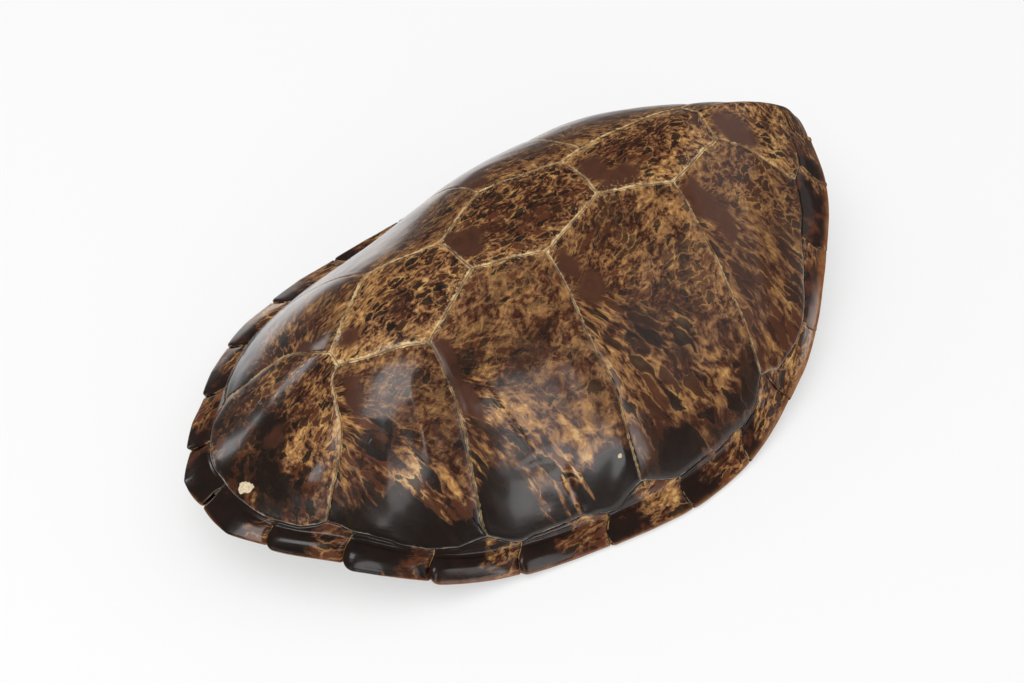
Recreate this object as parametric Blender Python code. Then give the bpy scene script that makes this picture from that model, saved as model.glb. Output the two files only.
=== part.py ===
"""The carapace of a green sea turtle, dome up on its rim: one bony shell and the 38 keratin scutes over it.

+X points to the head, +Y to the animal's left and +Z up. Sizes are in millimetres and are turned into
metres when a mesh is made. A place on the rim is a station number: 0 is the notch over the tail, each
whole number up to 13 is the next seam along the right side, 13 is the middle of the nuchal scute, and
the left side mirrors it from 13 back to 26, which is the notch again.
"""

import math
from dataclasses import dataclass

import bmesh
import bpy
import numpy as np

# Driving dimensions, in millimetres
LENGTH = 700  # straight, from the tail notch to the nuchal edge
MIDLINE_Y = 7.55  # the left side is narrower, so the midline lies left of the box's middle
SCUTE_THICKNESS = 2.5
BONE_THICKNESS = 6.0
CLEARANCE = 0.5  # between a scute and the bone under it
SEAM_HALF_WIDTH = 0.5  # each scute stops this far short of its seam, measured in plan
EDGE_HALF_HEIGHT = 5.0  # of the blunt rim
RIM_WRAP = 27.0  # how far a rim scute reaches inwards under the shell
RIDGE_TOP = 200.0  # height of the dome's highest point
RIDGE_TOP_AT = 487.0  # its distance from the tail notch
TAIL_DROP = 41.0  # how far the ridge has come down at TAIL_DROP_AT
TAIL_DROP_AT = 140.0
TAIL_DROP_POWER = 2.9
HEAD_DROP = 4.0  # and on the way to the nuchal scute, at HEAD_DROP_AT
HEAD_DROP_AT = 665.0
FOOT_REAR = 221.0  # the ribs fan out from the midline between these two places
FOOT_FRONT = 500.0
FOOT_CROWDING = 0.9
DOME_POWER = 1.9  # 2 would make each rib a parabola, and more a fuller flank
TOOTH = 3.0  # the rear corner of each marginal scute stands out past the next one by this much

# Construction
COLUMNS_PER_STATION = 3
WEB_RINGS = 3
SEAM_LIFT = 0.985  # the rim scutes start this share of the way down the dome
SEAM_PEAK = 0.035  # and this much higher where a costal seam comes down
SEAM_PEAK_REACH = 0.35  # of a station, to each side
UNDERSIDE_FREE_SLOPE = 0.45  # a rim that rises inwards faster than this lifts its underside with it
INNER_ROWS = (0.93, 0.78, 0.58, 0.36, 0.14, 0.07, 0.0)
RIB_COLUMNS = (2.333, 3.333, 4.333, 5.333, 6.333, 7.333, 8.667, 10.333)
RIB_HEIGHT = 4.0
RIB_INNER_SHARE = 0.1
BACKBONE_DEPTH = {0.07: 8.0, 0.0: 13.0}  # below the inner wall, by share of the way out
MIDLINE_SPACING = 25.0  # of the inner wall's points on the midline
LEAST_BAND = 22.0  # the rim's slope is worked out over at least this width
RIM_STEP = 0.01  # of a station, for the rim's direction


@dataclass(frozen=True)
class Station:
    """A seam of the rim: its outer edge and its inner end in the gutter, as (along, out, up)."""

    edge: tuple
    gutter: tuple


STATIONS = (
    Station((0, 0, 58), (22, 0, 69)),  # tail notch
    Station((24, 63, 51), (38, 55, 61)),  # supracaudal and marginal 11
    Station((66, 112, 44), (83, 103, 55)),  # marginals 11 and 10
    Station((118, 162, 26), (134, 149, 36)),
    Station((188, 199, 7), (203, 180, 20)),
    Station((270, 221, 3), (285, 200, 12)),
    Station((352, 237, 3), (358, 212, 12)),
    Station((425, 233, 5), (434, 211, 16)),
    Station((493, 212, 20), (485, 197, 35)),
    Station((559, 178, 38), (543, 177, 55)),
    Station((622, 125, 61), (603, 112, 82)),
    Station((672, 73, 78), (652, 54, 104)),
    Station((694, 27, 94), (667, 19, 123)),  # marginal 1 and the nuchal scute
    Station((700, 0, 107), (670, 0, 137)),  # middle of the nuchal scute
)
HALF_STATIONS = len(STATIONS) - 1
ALL_STATIONS = 2 * HALF_STATIONS
# How much nearer the midline the left rim lies than the right one, by seam
LEFT_NARROWER = {3: -2, 4: -3, 5: 5, 6: 17, 7: 11, 8: 7, 9: 5}
LEFT_FULLER = {4: -0.24, 5: -0.16, 6: 0.27, 7: 0.16, 8: 0.02, 9: -0.11, 10: -0.03}  # added to its dome power

# Corners of the vertebral scutes, as (along, out), from the head to the tail
RIGHT_CORNERS = ((555, 28), (479, 50), (412, 26), (339, 45), (275, 23), (212, 49), (145, 7))
LEFT_CORNERS = ((556, 24), (437, 30), (412, 24), (337, 50), (275, 23), (212, 50), (146, 7))

# Where the seams between costal scutes reach the gutter, as right-side station numbers
RIGHT_ENDS = (10.667, 7.9, 5.54, 3.667, 1.667)
LEFT_ENDS = (10.667, 7.667, 5.54, 3.667, 1.667)
RIGHT_REAR_BEND = (130, 49)  # the seam between costal 4 and vertebral 5 bends towards this place
LEFT_REAR_BEND = (134, 64)


def closed_curve(points):
    """A smooth closed curve through the points, as a function of the point number."""
    points = np.array(points, float)
    count = len(points)
    ring = np.arange(count)
    weights = np.zeros((count, count))
    weights[ring, ring] = 4
    weights[ring, (ring + 1) % count] = 1
    weights[ring, (ring - 1) % count] = 1
    chords = np.roll(points, -1, axis=0) - np.roll(points, 1, axis=0)
    slopes = np.linalg.solve(weights, 3 * chords)

    def at(number):
        number = np.asarray(number, float) % count
        whole = np.floor(number).astype(int) % count
        part = (number - np.floor(number))[..., None]
        after = (whole + 1) % count
        return (
            points[whole] * (1 + 2 * part) * (1 - part) ** 2
            + slopes[whole] * part * (1 - part) ** 2
            + points[after] * part**2 * (3 - 2 * part)
            + slopes[after] * part**2 * (part - 1)
        )

    return at


def all_round(places):
    """The right side's places from tail to head, then the narrower left side's back to the tail."""
    right = [(x, -y, z) for x, y, z in places]
    left = [(x, y - LEFT_NARROWER.get(number, 0), z) for number, (x, y, z) in enumerate(places)]
    return right + left[-2:0:-1]


edge_curve = closed_curve(all_round([station.edge for station in STATIONS]))
gutter_curve = closed_curve(all_round([station.gutter for station in STATIONS]))


def power_all_round():
    """The dome's power at each seam, from tail to head on the right and back to the tail on the left."""
    left = [(DOME_POWER + LEFT_FULLER.get(number, 0.0),) for number in range(HALF_STATIONS)]
    return [(DOME_POWER,)] * (HALF_STATIONS + 1) + left[:0:-1]


power_curve = closed_curve(power_all_round())


def ridge_height(x):
    """Height of the dome's midline."""
    behind = np.clip(RIDGE_TOP_AT - x, 0, None) / (RIDGE_TOP_AT - TAIL_DROP_AT)
    ahead = np.clip(x - RIDGE_TOP_AT, 0, None) / (HEAD_DROP_AT - RIDGE_TOP_AT)
    return RIDGE_TOP - TAIL_DROP * behind**TAIL_DROP_POWER - HEAD_DROP * ahead**2


def foot_of(station):
    """Where on the midline the rib to this station starts."""
    share = np.minimum(station, ALL_STATIONS - station) / HALF_STATIONS
    eased = share - FOOT_CROWDING * np.sin(2 * np.pi * share) / (2 * np.pi)
    return FOOT_REAR + (FOOT_FRONT - FOOT_REAR) * eased


def plan_of(station, share):
    """The plan point this share of the way from the midline to the gutter."""
    gutter = gutter_curve(station)
    foot = foot_of(station)
    return np.stack([foot + (gutter[..., 0] - foot) * share, gutter[..., 1] * share], axis=-1)


def rib_of(x, y):
    """The station and the share of the way out that a plan point lies at."""
    out = np.maximum(np.abs(y), 1e-6)
    low = np.zeros_like(x)
    high = np.full_like(x, HALF_STATIONS)
    for _ in range(40):
        middle = (low + high) / 2
        gutter = gutter_curve(np.where(y > 0, ALL_STATIONS - middle, middle))
        foot = foot_of(middle)
        ahead = (x - foot) * np.abs(gutter[..., 1]) > out * (gutter[..., 0] - foot)
        low = np.where(ahead, middle, low)
        high = np.where(ahead, high, middle)
    station = np.where(y > 0, ALL_STATIONS - low, low)
    gutter = gutter_curve(station)
    foot = foot_of(station)
    reach = np.hypot(gutter[..., 0] - foot, gutter[..., 1])
    return station, np.hypot(x - foot, out) / reach


def dome_height(x, y):
    """Height of the shell's outer face over a plan point inside the gutter."""
    station, share = rib_of(x, y)
    base = gutter_curve(station)[..., 2]
    power = power_curve(station)[..., 0]
    return base + (ridge_height(x) - base) * (1 - share**power)


def on_dome(plan, depth):
    """Points this far under the dome's outer face, below these plan points."""
    plan = np.asarray(plan, float)
    x, y = plan[..., 0], plan[..., 1]
    step = 1.0
    height = dome_height(x, y)
    along = (dome_height(x + step, y) - dome_height(x - step, y)) / (2 * step)
    across = (dome_height(x, y + step) - dome_height(x, y - step)) / (2 * step)
    up = np.stack([-along, -across, np.ones_like(x)], axis=-1)
    up /= np.linalg.norm(up, axis=-1, keepdims=True)
    return np.stack([x, y, height], axis=-1) - up * depth[..., None]


def side_ends(station):
    """The costal seam ends on this station's side."""
    return RIGHT_ENDS if station <= HALF_STATIONS else LEFT_ENDS


def seam_share(station):
    """How far down the dome the seam between the costal and the rim scutes runs."""
    right = min(station, ALL_STATIONS - station)
    nearest = min(abs(right - end) for end in side_ends(station))
    return SEAM_LIFT - SEAM_PEAK * max(0.0, 1 - nearest / SEAM_PEAK_REACH)


def seam_point(station):
    """Plan point of that seam."""
    return plan_of(np.array(station), seam_share(station))


def columns_between(first, last):
    """Station numbers across whole stations, with one on each costal seam's end."""
    columns = list(np.linspace(first, last, round((last - first) * COLUMNS_PER_STATION) + 1))
    ends = list(RIGHT_ENDS) + [ALL_STATIONS - end for end in LEFT_ENDS]
    for end in ends:
        if first < end < last:
            inner = [c for c in columns if abs(c - round(c)) > 1e-6]
            nearest = min(inner, key=lambda column: abs(column - end))
            columns[columns.index(nearest)] = end
    return columns


def rim_section(station, depth, tooth=0.0):
    """The rim's section under this station, this far under its surface: seam, gutter, edge and underside."""
    edge = edge_curve(station)
    gutter = gutter_curve(station)
    ahead = edge_curve(station + RIM_STEP) - edge_curve(station - RIM_STEP)
    inwards = np.array([-ahead[1], ahead[0], 0.0]) / np.hypot(ahead[0], ahead[1])
    up = np.array([0.0, 0.0, 1.0])
    band = max((gutter - edge) @ inwards, LEAST_BAND)
    slope = max(0.0, (gutter[2] - edge[2]) / band - UNDERSIDE_FREE_SLOPE)
    low = edge - up * EDGE_HALF_HEIGHT
    wrapped = low + inwards * RIM_WRAP + up * slope * RIM_WRAP
    low[2] = max(low[2], 0.0)
    wrapped[2] = max(wrapped[2], low[2])
    if wrapped[2] - low[2] < 1.0:
        wrapped[2] = low[2]
    high = edge + up * EDGE_HALF_HEIGHT
    seam = on_dome(seam_point(station)[None], np.array([depth]))[0]
    lean = np.array([*(inwards[:2] * 0.5), -0.87])
    return [
        seam,
        gutter + lean * depth,
        high + (inwards - up) * depth - inwards * tooth,
        low + (inwards + up) * depth - inwards * tooth,
        wrapped + up * depth,
    ]


def straight(start, end, parts):
    """Plan points from start up to, but not at, end."""
    start, end = np.array(start, float), np.array(end, float)
    return [start + (end - start) * i / parts for i in range(parts)]


def bent(start, bend, end, parts):
    """Plan points of a curve that leans towards bend, up to, but not at, end."""
    start, bend, end = (np.array(place, float) for place in (start, bend, end))
    shares = [i / parts for i in range(parts)]
    return [start * (1 - t) ** 2 + bend * 2 * t * (1 - t) + end * t**2 for t in shares]


class Side:
    """One side's seams, in plan. The sign is -1 on the right and 1 on the left."""

    SEAM_PARTS = 5
    CORNER_PARTS = 2

    def __init__(self, name, sign, corners, ends, rear_bend):
        self.name = name
        self.corners = [(x, sign * y) for x, y in corners]
        self.rear_bend = (rear_bend[0], sign * rear_bend[1])
        self.ends = [end if sign < 0 else ALL_STATIONS - end for end in ends]

    def seam(self, number):
        """The seam in front of costal scute number, out to the gutter. Number 5 is behind costal 4."""
        corner = self.corners[(0, 1, 3, 5, 6)[number - 1]]
        end = seam_point(self.ends[number - 1])
        if number == 5:
            return bent(corner, self.rear_bend, end, self.SEAM_PARTS)
        return straight(corner, end, self.SEAM_PARTS)

    def gutter(self, start, end):
        """The seam over the rim scutes from one station to another, without its last point."""
        low, high = sorted((start, end))
        whole = columns_between(math.floor(low), math.ceil(high))
        columns = [column for column in whole if low - 1e-6 < column < high + 1e-6]
        if start > end:
            columns.reverse()
        return [seam_point(column) for column in columns[:-1]]

    def backwards(self, number):
        """The same seam from the gutter up to its corner, without the corner."""
        there = self.seam(number) + [seam_point(self.ends[number - 1])]
        return there[:0:-1]

    def costal(self, number):
        """Outline of a costal scute, in plan."""
        tops = ((0, 1), (1, 2, 3), (3, 4, 5), (5, 6))[number - 1]
        outline = []
        for first, second in zip(tops, tops[1:]):
            outline += straight(self.corners[first], self.corners[second], self.CORNER_PARTS)
        outline += self.seam(number + 1)
        outline += self.gutter(self.ends[number], self.ends[number - 1])
        return outline + self.backwards(number)


RIGHT = Side("right", -1, RIGHT_CORNERS, RIGHT_ENDS, RIGHT_REAR_BEND)
LEFT = Side("left", 1, LEFT_CORNERS, LEFT_ENDS, LEFT_REAR_BEND)


def vertebral(number):
    """Outline of a vertebral scute, in plan."""
    parts = Side.CORNER_PARTS
    if number == 1:
        outline = straight(LEFT.corners[0], RIGHT.corners[0], parts) + RIGHT.seam(1)
        outline += RIGHT.gutter(RIGHT.ends[0], LEFT.ends[0])
        return outline + LEFT.backwards(1)
    if number == 5:
        outline = straight(RIGHT.corners[6], LEFT.corners[6], 1) + LEFT.seam(5)
        outline += LEFT.gutter(LEFT.ends[4], ALL_STATIONS)
        outline += RIGHT.gutter(0, RIGHT.ends[4])
        return outline + RIGHT.backwards(5)
    front = 2 * number - 4
    outline = []
    for side, order in ((RIGHT, (front, front + 1, front + 2)), (LEFT, (front + 2, front + 1, front))):
        for first, second in zip(order, order[1:]):
            outline += straight(side.corners[first], side.corners[second], parts)
        other = LEFT if side is RIGHT else RIGHT
        across = 1 if number == 4 and side is RIGHT else parts
        outline += straight(side.corners[order[2]], other.corners[order[2]], across)
    return outline


def middle_of(outline):
    """The centre of area of a plan outline."""
    here = np.array(outline)
    after = np.roll(here, -1, axis=0)
    cross = here[:, 0] * after[:, 1] - after[:, 0] * here[:, 1]
    return ((here + after) * cross[:, None]).sum(axis=0) / (3 * cross.sum())


def web(outline):
    """Rings of plan points from the outline in to its centre, which comes last."""
    outline = np.array(outline)
    centre = middle_of(outline)
    rings = [centre + (outline - centre) * (1 - ring / WEB_RINGS) for ring in range(WEB_RINGS)]
    return rings, centre


def pulled_in(outline):
    """The outline brought in by the half width of its seam."""
    centre = middle_of(outline)
    inwards = centre - np.array(outline)
    return np.array(outline) + inwards * SEAM_HALF_WIDTH / np.linalg.norm(inwards, axis=1)[:, None]


def add_points(bm, points):
    """New vertices at these places, which are in millimetres from the tail notch."""
    shifted = (np.asarray(points) - (LENGTH / 2, -MIDLINE_Y, 0)) / 1000
    return [bm.verts.new(point) for point in shifted]


def add_strip(bm, first, second, closed):
    """Triangles between two rows of vertices, every quad cut the same way so that skins lie parallel."""
    count = len(first)
    for i in range(count if closed else count - 1):
        after = (i + 1) % count
        bm.faces.new((first[i], first[after], second[after]))
        bm.faces.new((first[i], second[after], second[i]))


def add_skin(bm, rows, closed):
    """A strip between each row and the next."""
    for first, second in zip(rows, rows[1:]):
        add_strip(bm, first, second, closed)


def add_sheet(bm, outline, depth):
    """The piece of the dome inside an outline, this far down. It returns the outline's vertices."""
    rings, centre = web(outline)
    rows = [add_points(bm, on_dome(ring, np.full(len(ring), depth))) for ring in rings]
    add_skin(bm, rows, True)
    hub = add_points(bm, on_dome(centre[None], np.array([depth])))[0]
    for first, second in zip(rows[-1], rows[-1][1:] + rows[-1][:1]):
        bm.faces.new((first, second, hub))
    return rows[0]


def border_of(rows):
    """The vertices round a rectangular skin, in order."""
    last_column = [row[-1] for row in rows[1:]]
    first_column = [row[0] for row in rows[-2:0:-1]]
    return rows[0] + last_column + rows[-1][-2::-1] + first_column


def finish(name, bm, material):
    """An object of this name from the mesh, closed and with its faces pointing out."""
    bmesh.ops.recalc_face_normals(bm, faces=bm.faces)
    if bm.calc_volume(signed=True) < 0:
        bmesh.ops.reverse_faces(bm, faces=bm.faces)
    mesh = bpy.data.meshes.new(name)
    bm.to_mesh(mesh)
    bm.free()
    mesh.shade_smooth()
    mesh.set_sharp_from_angle(angle=math.radians(35))
    mesh.materials.append(material)
    made = bpy.data.objects.new(name, mesh)
    bpy.context.scene.collection.objects.link(made)
    return made


def make_plate(name, outline, material):
    """A vertebral or costal scute: a sheet of keratin that follows the dome."""
    bm = bmesh.new()
    outline = pulled_in(outline)
    top = add_sheet(bm, outline, 0.0)
    bottom = add_sheet(bm, outline, SCUTE_THICKNESS)
    add_strip(bm, top, bottom, True)
    return finish(name, bm, material)


def make_rim_scute(name, first, last, material, tooth):
    """A scute that folds round the rim between two stations, thickest at its rear corner."""
    bm = bmesh.new()
    columns = columns_between(first, last)
    inset = SEAM_HALF_WIDTH * (last - first) / np.linalg.norm(edge_curve(last) - edge_curve(first))
    columns[0] += inset
    columns[-1] -= inset
    rear = first if last <= HALF_STATIONS else last
    teeth = [tooth * (1 - abs(column - rear) / (last - first)) ** 2 for column in columns]
    outer = [rim_section(column, 0.0, out) for column, out in zip(columns, teeth)]
    inner = [rim_section(column, SCUTE_THICKNESS) for column in columns]
    skins = [[add_points(bm, row) for row in zip(*sections)] for sections in (outer, inner)]
    for skin in skins:
        add_skin(bm, skin, False)
    add_strip(bm, border_of(skins[0]), border_of(skins[1]), True)
    return finish(name, bm, material)


def inner_depth(column, share):
    """How far under the outer face the bone's inner wall lies: ribs and backbone stand down from it."""
    depth = SCUTE_THICKNESS + CLEARANCE + BONE_THICKNESS + BACKBONE_DEPTH.get(share, 0.0)
    right = min(column, ALL_STATIONS - column)
    on_rib = min(abs(right - rib) for rib in RIB_COLUMNS) < 0.02
    return depth + (RIB_HEIGHT if on_rib and share > RIB_INNER_SHARE else 0.0)


def make_bone(name, plates, material):
    """The bony shell: a dome under the scutes, a thick rim that they fold round, and a ribbed hollow."""
    bm = bmesh.new()
    depth = SCUTE_THICKNESS + CLEARANCE
    for outline in plates:
        add_sheet(bm, outline, depth)
    columns = columns_between(0, ALL_STATIONS)[:-1]
    rows = [add_points(bm, row) for row in zip(*(rim_section(column, depth) for column in columns))]
    for share in INNER_ROWS:
        plan = np.array([plan_of(np.array(column), share) for column in columns])
        if share == 0.0:
            plan = np.round(plan / MIDLINE_SPACING) * MIDLINE_SPACING
        depths = np.array([inner_depth(column, share) for column in columns])
        rows.append(add_points(bm, on_dome(plan, depths)))
    add_skin(bm, rows, True)
    bmesh.ops.remove_doubles(bm, verts=bm.verts, dist=0.01 / 1000)
    return finish(name, bm, material)


def make_material(name, colour, roughness):
    """A plain Principled material with no metal in it."""
    material = bpy.data.materials.new(name)
    material.use_nodes = True
    shader = material.node_tree.nodes["Principled BSDF"]
    shader.inputs["Base Color"].default_value = (*colour, 1.0)
    shader.inputs["Roughness"].default_value = roughness
    shader.inputs["Metallic"].default_value = 0.0
    return material


def main():
    """Builds the bone and the 38 scutes."""
    for old in list(bpy.data.objects):
        bpy.data.objects.remove(old, do_unlink=True)
    keratin = make_material("scute_keratin", (0.16, 0.075, 0.03), 0.22)
    bone = make_material("shell_bone", (0.70, 0.62, 0.47), 0.6)
    outlines = {f"vertebral_scute_{number}": vertebral(number) for number in range(1, 6)}
    for side in (RIGHT, LEFT):
        for number in range(1, 5):
            outlines[f"costal_scute_{side.name}_{number}"] = side.costal(number)
    for name, outline in outlines.items():
        make_plate(name, outline, keratin)
    for number in range(1, 12):
        rear = HALF_STATIONS - 1 - number
        front = rear + 1
        make_rim_scute(f"marginal_scute_right_{number}", rear, front, keratin, TOOTH)
        mirrored = (ALL_STATIONS - front, ALL_STATIONS - rear)
        make_rim_scute(f"marginal_scute_left_{number}", *mirrored, keratin, TOOTH)
    make_rim_scute("supracaudal_scute_right", 0, 1, keratin, 0.0)
    make_rim_scute("supracaudal_scute_left", ALL_STATIONS - 1, ALL_STATIONS, keratin, 0.0)
    make_rim_scute("nuchal_scute", HALF_STATIONS - 1, HALF_STATIONS + 1, keratin, 0.0)
    make_bone("bony_carapace", outlines.values(), bone)


main()
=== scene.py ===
"""The looks of a green sea turtle's carapace: 38 glossy, mottled scutes over one bony shell.

The shell lies dome up on its rim. +X points to the head, +Y to the animal's left and +Z up. Shapes are
worked out in millimetres from the tail notch ("shell millimetres") and turned into metres, in the frame's
axes, when a mesh is made. A place on the rim is a station number: 0 is the notch over the tail, each whole
number up to 13 is the next seam along the right side, 13 is the middle of the nuchal scute, and the left
side mirrors it from 13 back to 26, which is the notch again.
"""

import logging
import math
from dataclasses import dataclass, field, replace
from enum import Enum
from typing import Callable, Iterable, Sequence

import bmesh
import bpy
import numpy as np
from mathutils import Matrix, Vector, noise


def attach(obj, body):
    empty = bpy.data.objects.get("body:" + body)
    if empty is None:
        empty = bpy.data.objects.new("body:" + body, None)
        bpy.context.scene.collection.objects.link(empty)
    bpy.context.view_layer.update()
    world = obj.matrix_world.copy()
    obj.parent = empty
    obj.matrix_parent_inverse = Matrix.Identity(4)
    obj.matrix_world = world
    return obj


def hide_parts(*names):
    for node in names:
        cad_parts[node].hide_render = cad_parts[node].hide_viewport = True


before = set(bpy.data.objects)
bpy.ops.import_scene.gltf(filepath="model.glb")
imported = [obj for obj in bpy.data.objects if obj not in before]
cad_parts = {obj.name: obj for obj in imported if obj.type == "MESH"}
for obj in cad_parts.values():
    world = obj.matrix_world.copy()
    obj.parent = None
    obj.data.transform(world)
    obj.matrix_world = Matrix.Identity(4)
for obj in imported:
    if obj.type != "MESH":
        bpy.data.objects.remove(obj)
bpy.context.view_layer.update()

LOG = logging.getLogger("carapace")
Array = np.ndarray
Piece = bpy.types.Object
Plan = tuple[float, float]
Place = tuple[float, float, float]
MM = 0.001


class Side(Enum):
    """A side of the animal, with the sign of its y."""

    RIGHT = -1
    LEFT = 1

    @property
    def word(self) -> str:
        """The side's name as it stands in node names."""
        return self.name.lower()


# ---- The shape that every piece follows ----


@dataclass(frozen=True)
class Station:
    """A seam of the rim: its outer edge and its inner end in the gutter, as (along, out, up)."""

    edge: Place
    gutter: Place


STATIONS = (
    Station((0, 0, 58), (22, 0, 69)),  # tail notch
    Station((24, 63, 51), (38, 55, 61)),  # supracaudal and marginal 11
    Station((66, 112, 44), (83, 103, 55)),  # marginals 11 and 10
    Station((118, 162, 26), (134, 149, 36)),
    Station((188, 199, 7), (203, 180, 20)),
    Station((270, 221, 3), (285, 200, 12)),
    Station((352, 237, 3), (358, 212, 12)),
    Station((425, 233, 5), (434, 211, 16)),
    Station((493, 212, 20), (485, 197, 35)),
    Station((559, 178, 38), (543, 177, 55)),
    Station((622, 125, 61), (603, 112, 82)),
    Station((672, 73, 78), (652, 54, 104)),
    Station((694, 27, 94), (667, 19, 123)),  # marginal 1 and the nuchal scute
    Station((700, 0, 107), (670, 0, 137)),  # middle of the nuchal scute
)
HALF = len(STATIONS) - 1
ALL = 2 * HALF


def closed_curve(points: Sequence[Place]) -> Callable[[Array], Array]:
    """Makes a smooth closed curve through points.

    Args:
        points: the places that the curve goes through, in order.

    Returns:
        A function that gives the places at an array of point numbers.
    """
    knots = np.array(points, float)
    count = len(knots)
    ring = np.arange(count)
    weights = np.zeros((count, count))
    weights[ring, ring] = 4
    weights[ring, (ring + 1) % count] = 1
    weights[ring, (ring - 1) % count] = 1
    chords = np.roll(knots, -1, axis=0) - np.roll(knots, 1, axis=0)
    slopes = np.linalg.solve(weights, 3 * chords)

    def at(number: Array) -> Array:
        """The places at point numbers, from a cubic between each two points."""
        number = np.asarray(number, float) % count
        whole = np.floor(number).astype(int) % count
        part = (number - np.floor(number))[..., None]
        after = (whole + 1) % count
        return (
            knots[whole] * (1 + 2 * part) * (1 - part) ** 2
            + slopes[whole] * part * (1 - part) ** 2
            + knots[after] * part**2 * (3 - 2 * part)
            + slopes[after] * part**2 * (part - 1)
        )

    return at


def eased(value: Array, low: float, high: float) -> Array:
    """A smooth step from 0 at low to 1 at high."""
    share = np.clip((np.asarray(value, float) - low) / (high - low), 0, 1)
    return share * share * (3 - 2 * share)


def unit(vectors: Array) -> Array:
    """Vectors in the last axis, each made one long."""
    return vectors / np.linalg.norm(vectors, axis=-1, keepdims=True)


def waviness(points: Array, size: float, seed: float) -> Array:
    """Smooth noise from about -1 to 1.

    Args:
        points: places in millimetres, as rows of two or three numbers.
        size: the width of a wave, in millimetres.
        seed: a number that picks the pattern.

    Returns:
        One value for each point.
    """
    flat = points.reshape(-1, points.shape[-1])[:, :3] / size
    third = flat[:, 2] if flat.shape[1] > 2 else np.zeros(len(flat))
    values = [noise.noise((x, y, z + seed)) for x, y, z in zip(flat[:, 0], flat[:, 1], third)]
    return np.array(values).reshape(points.shape[:-1])


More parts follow.
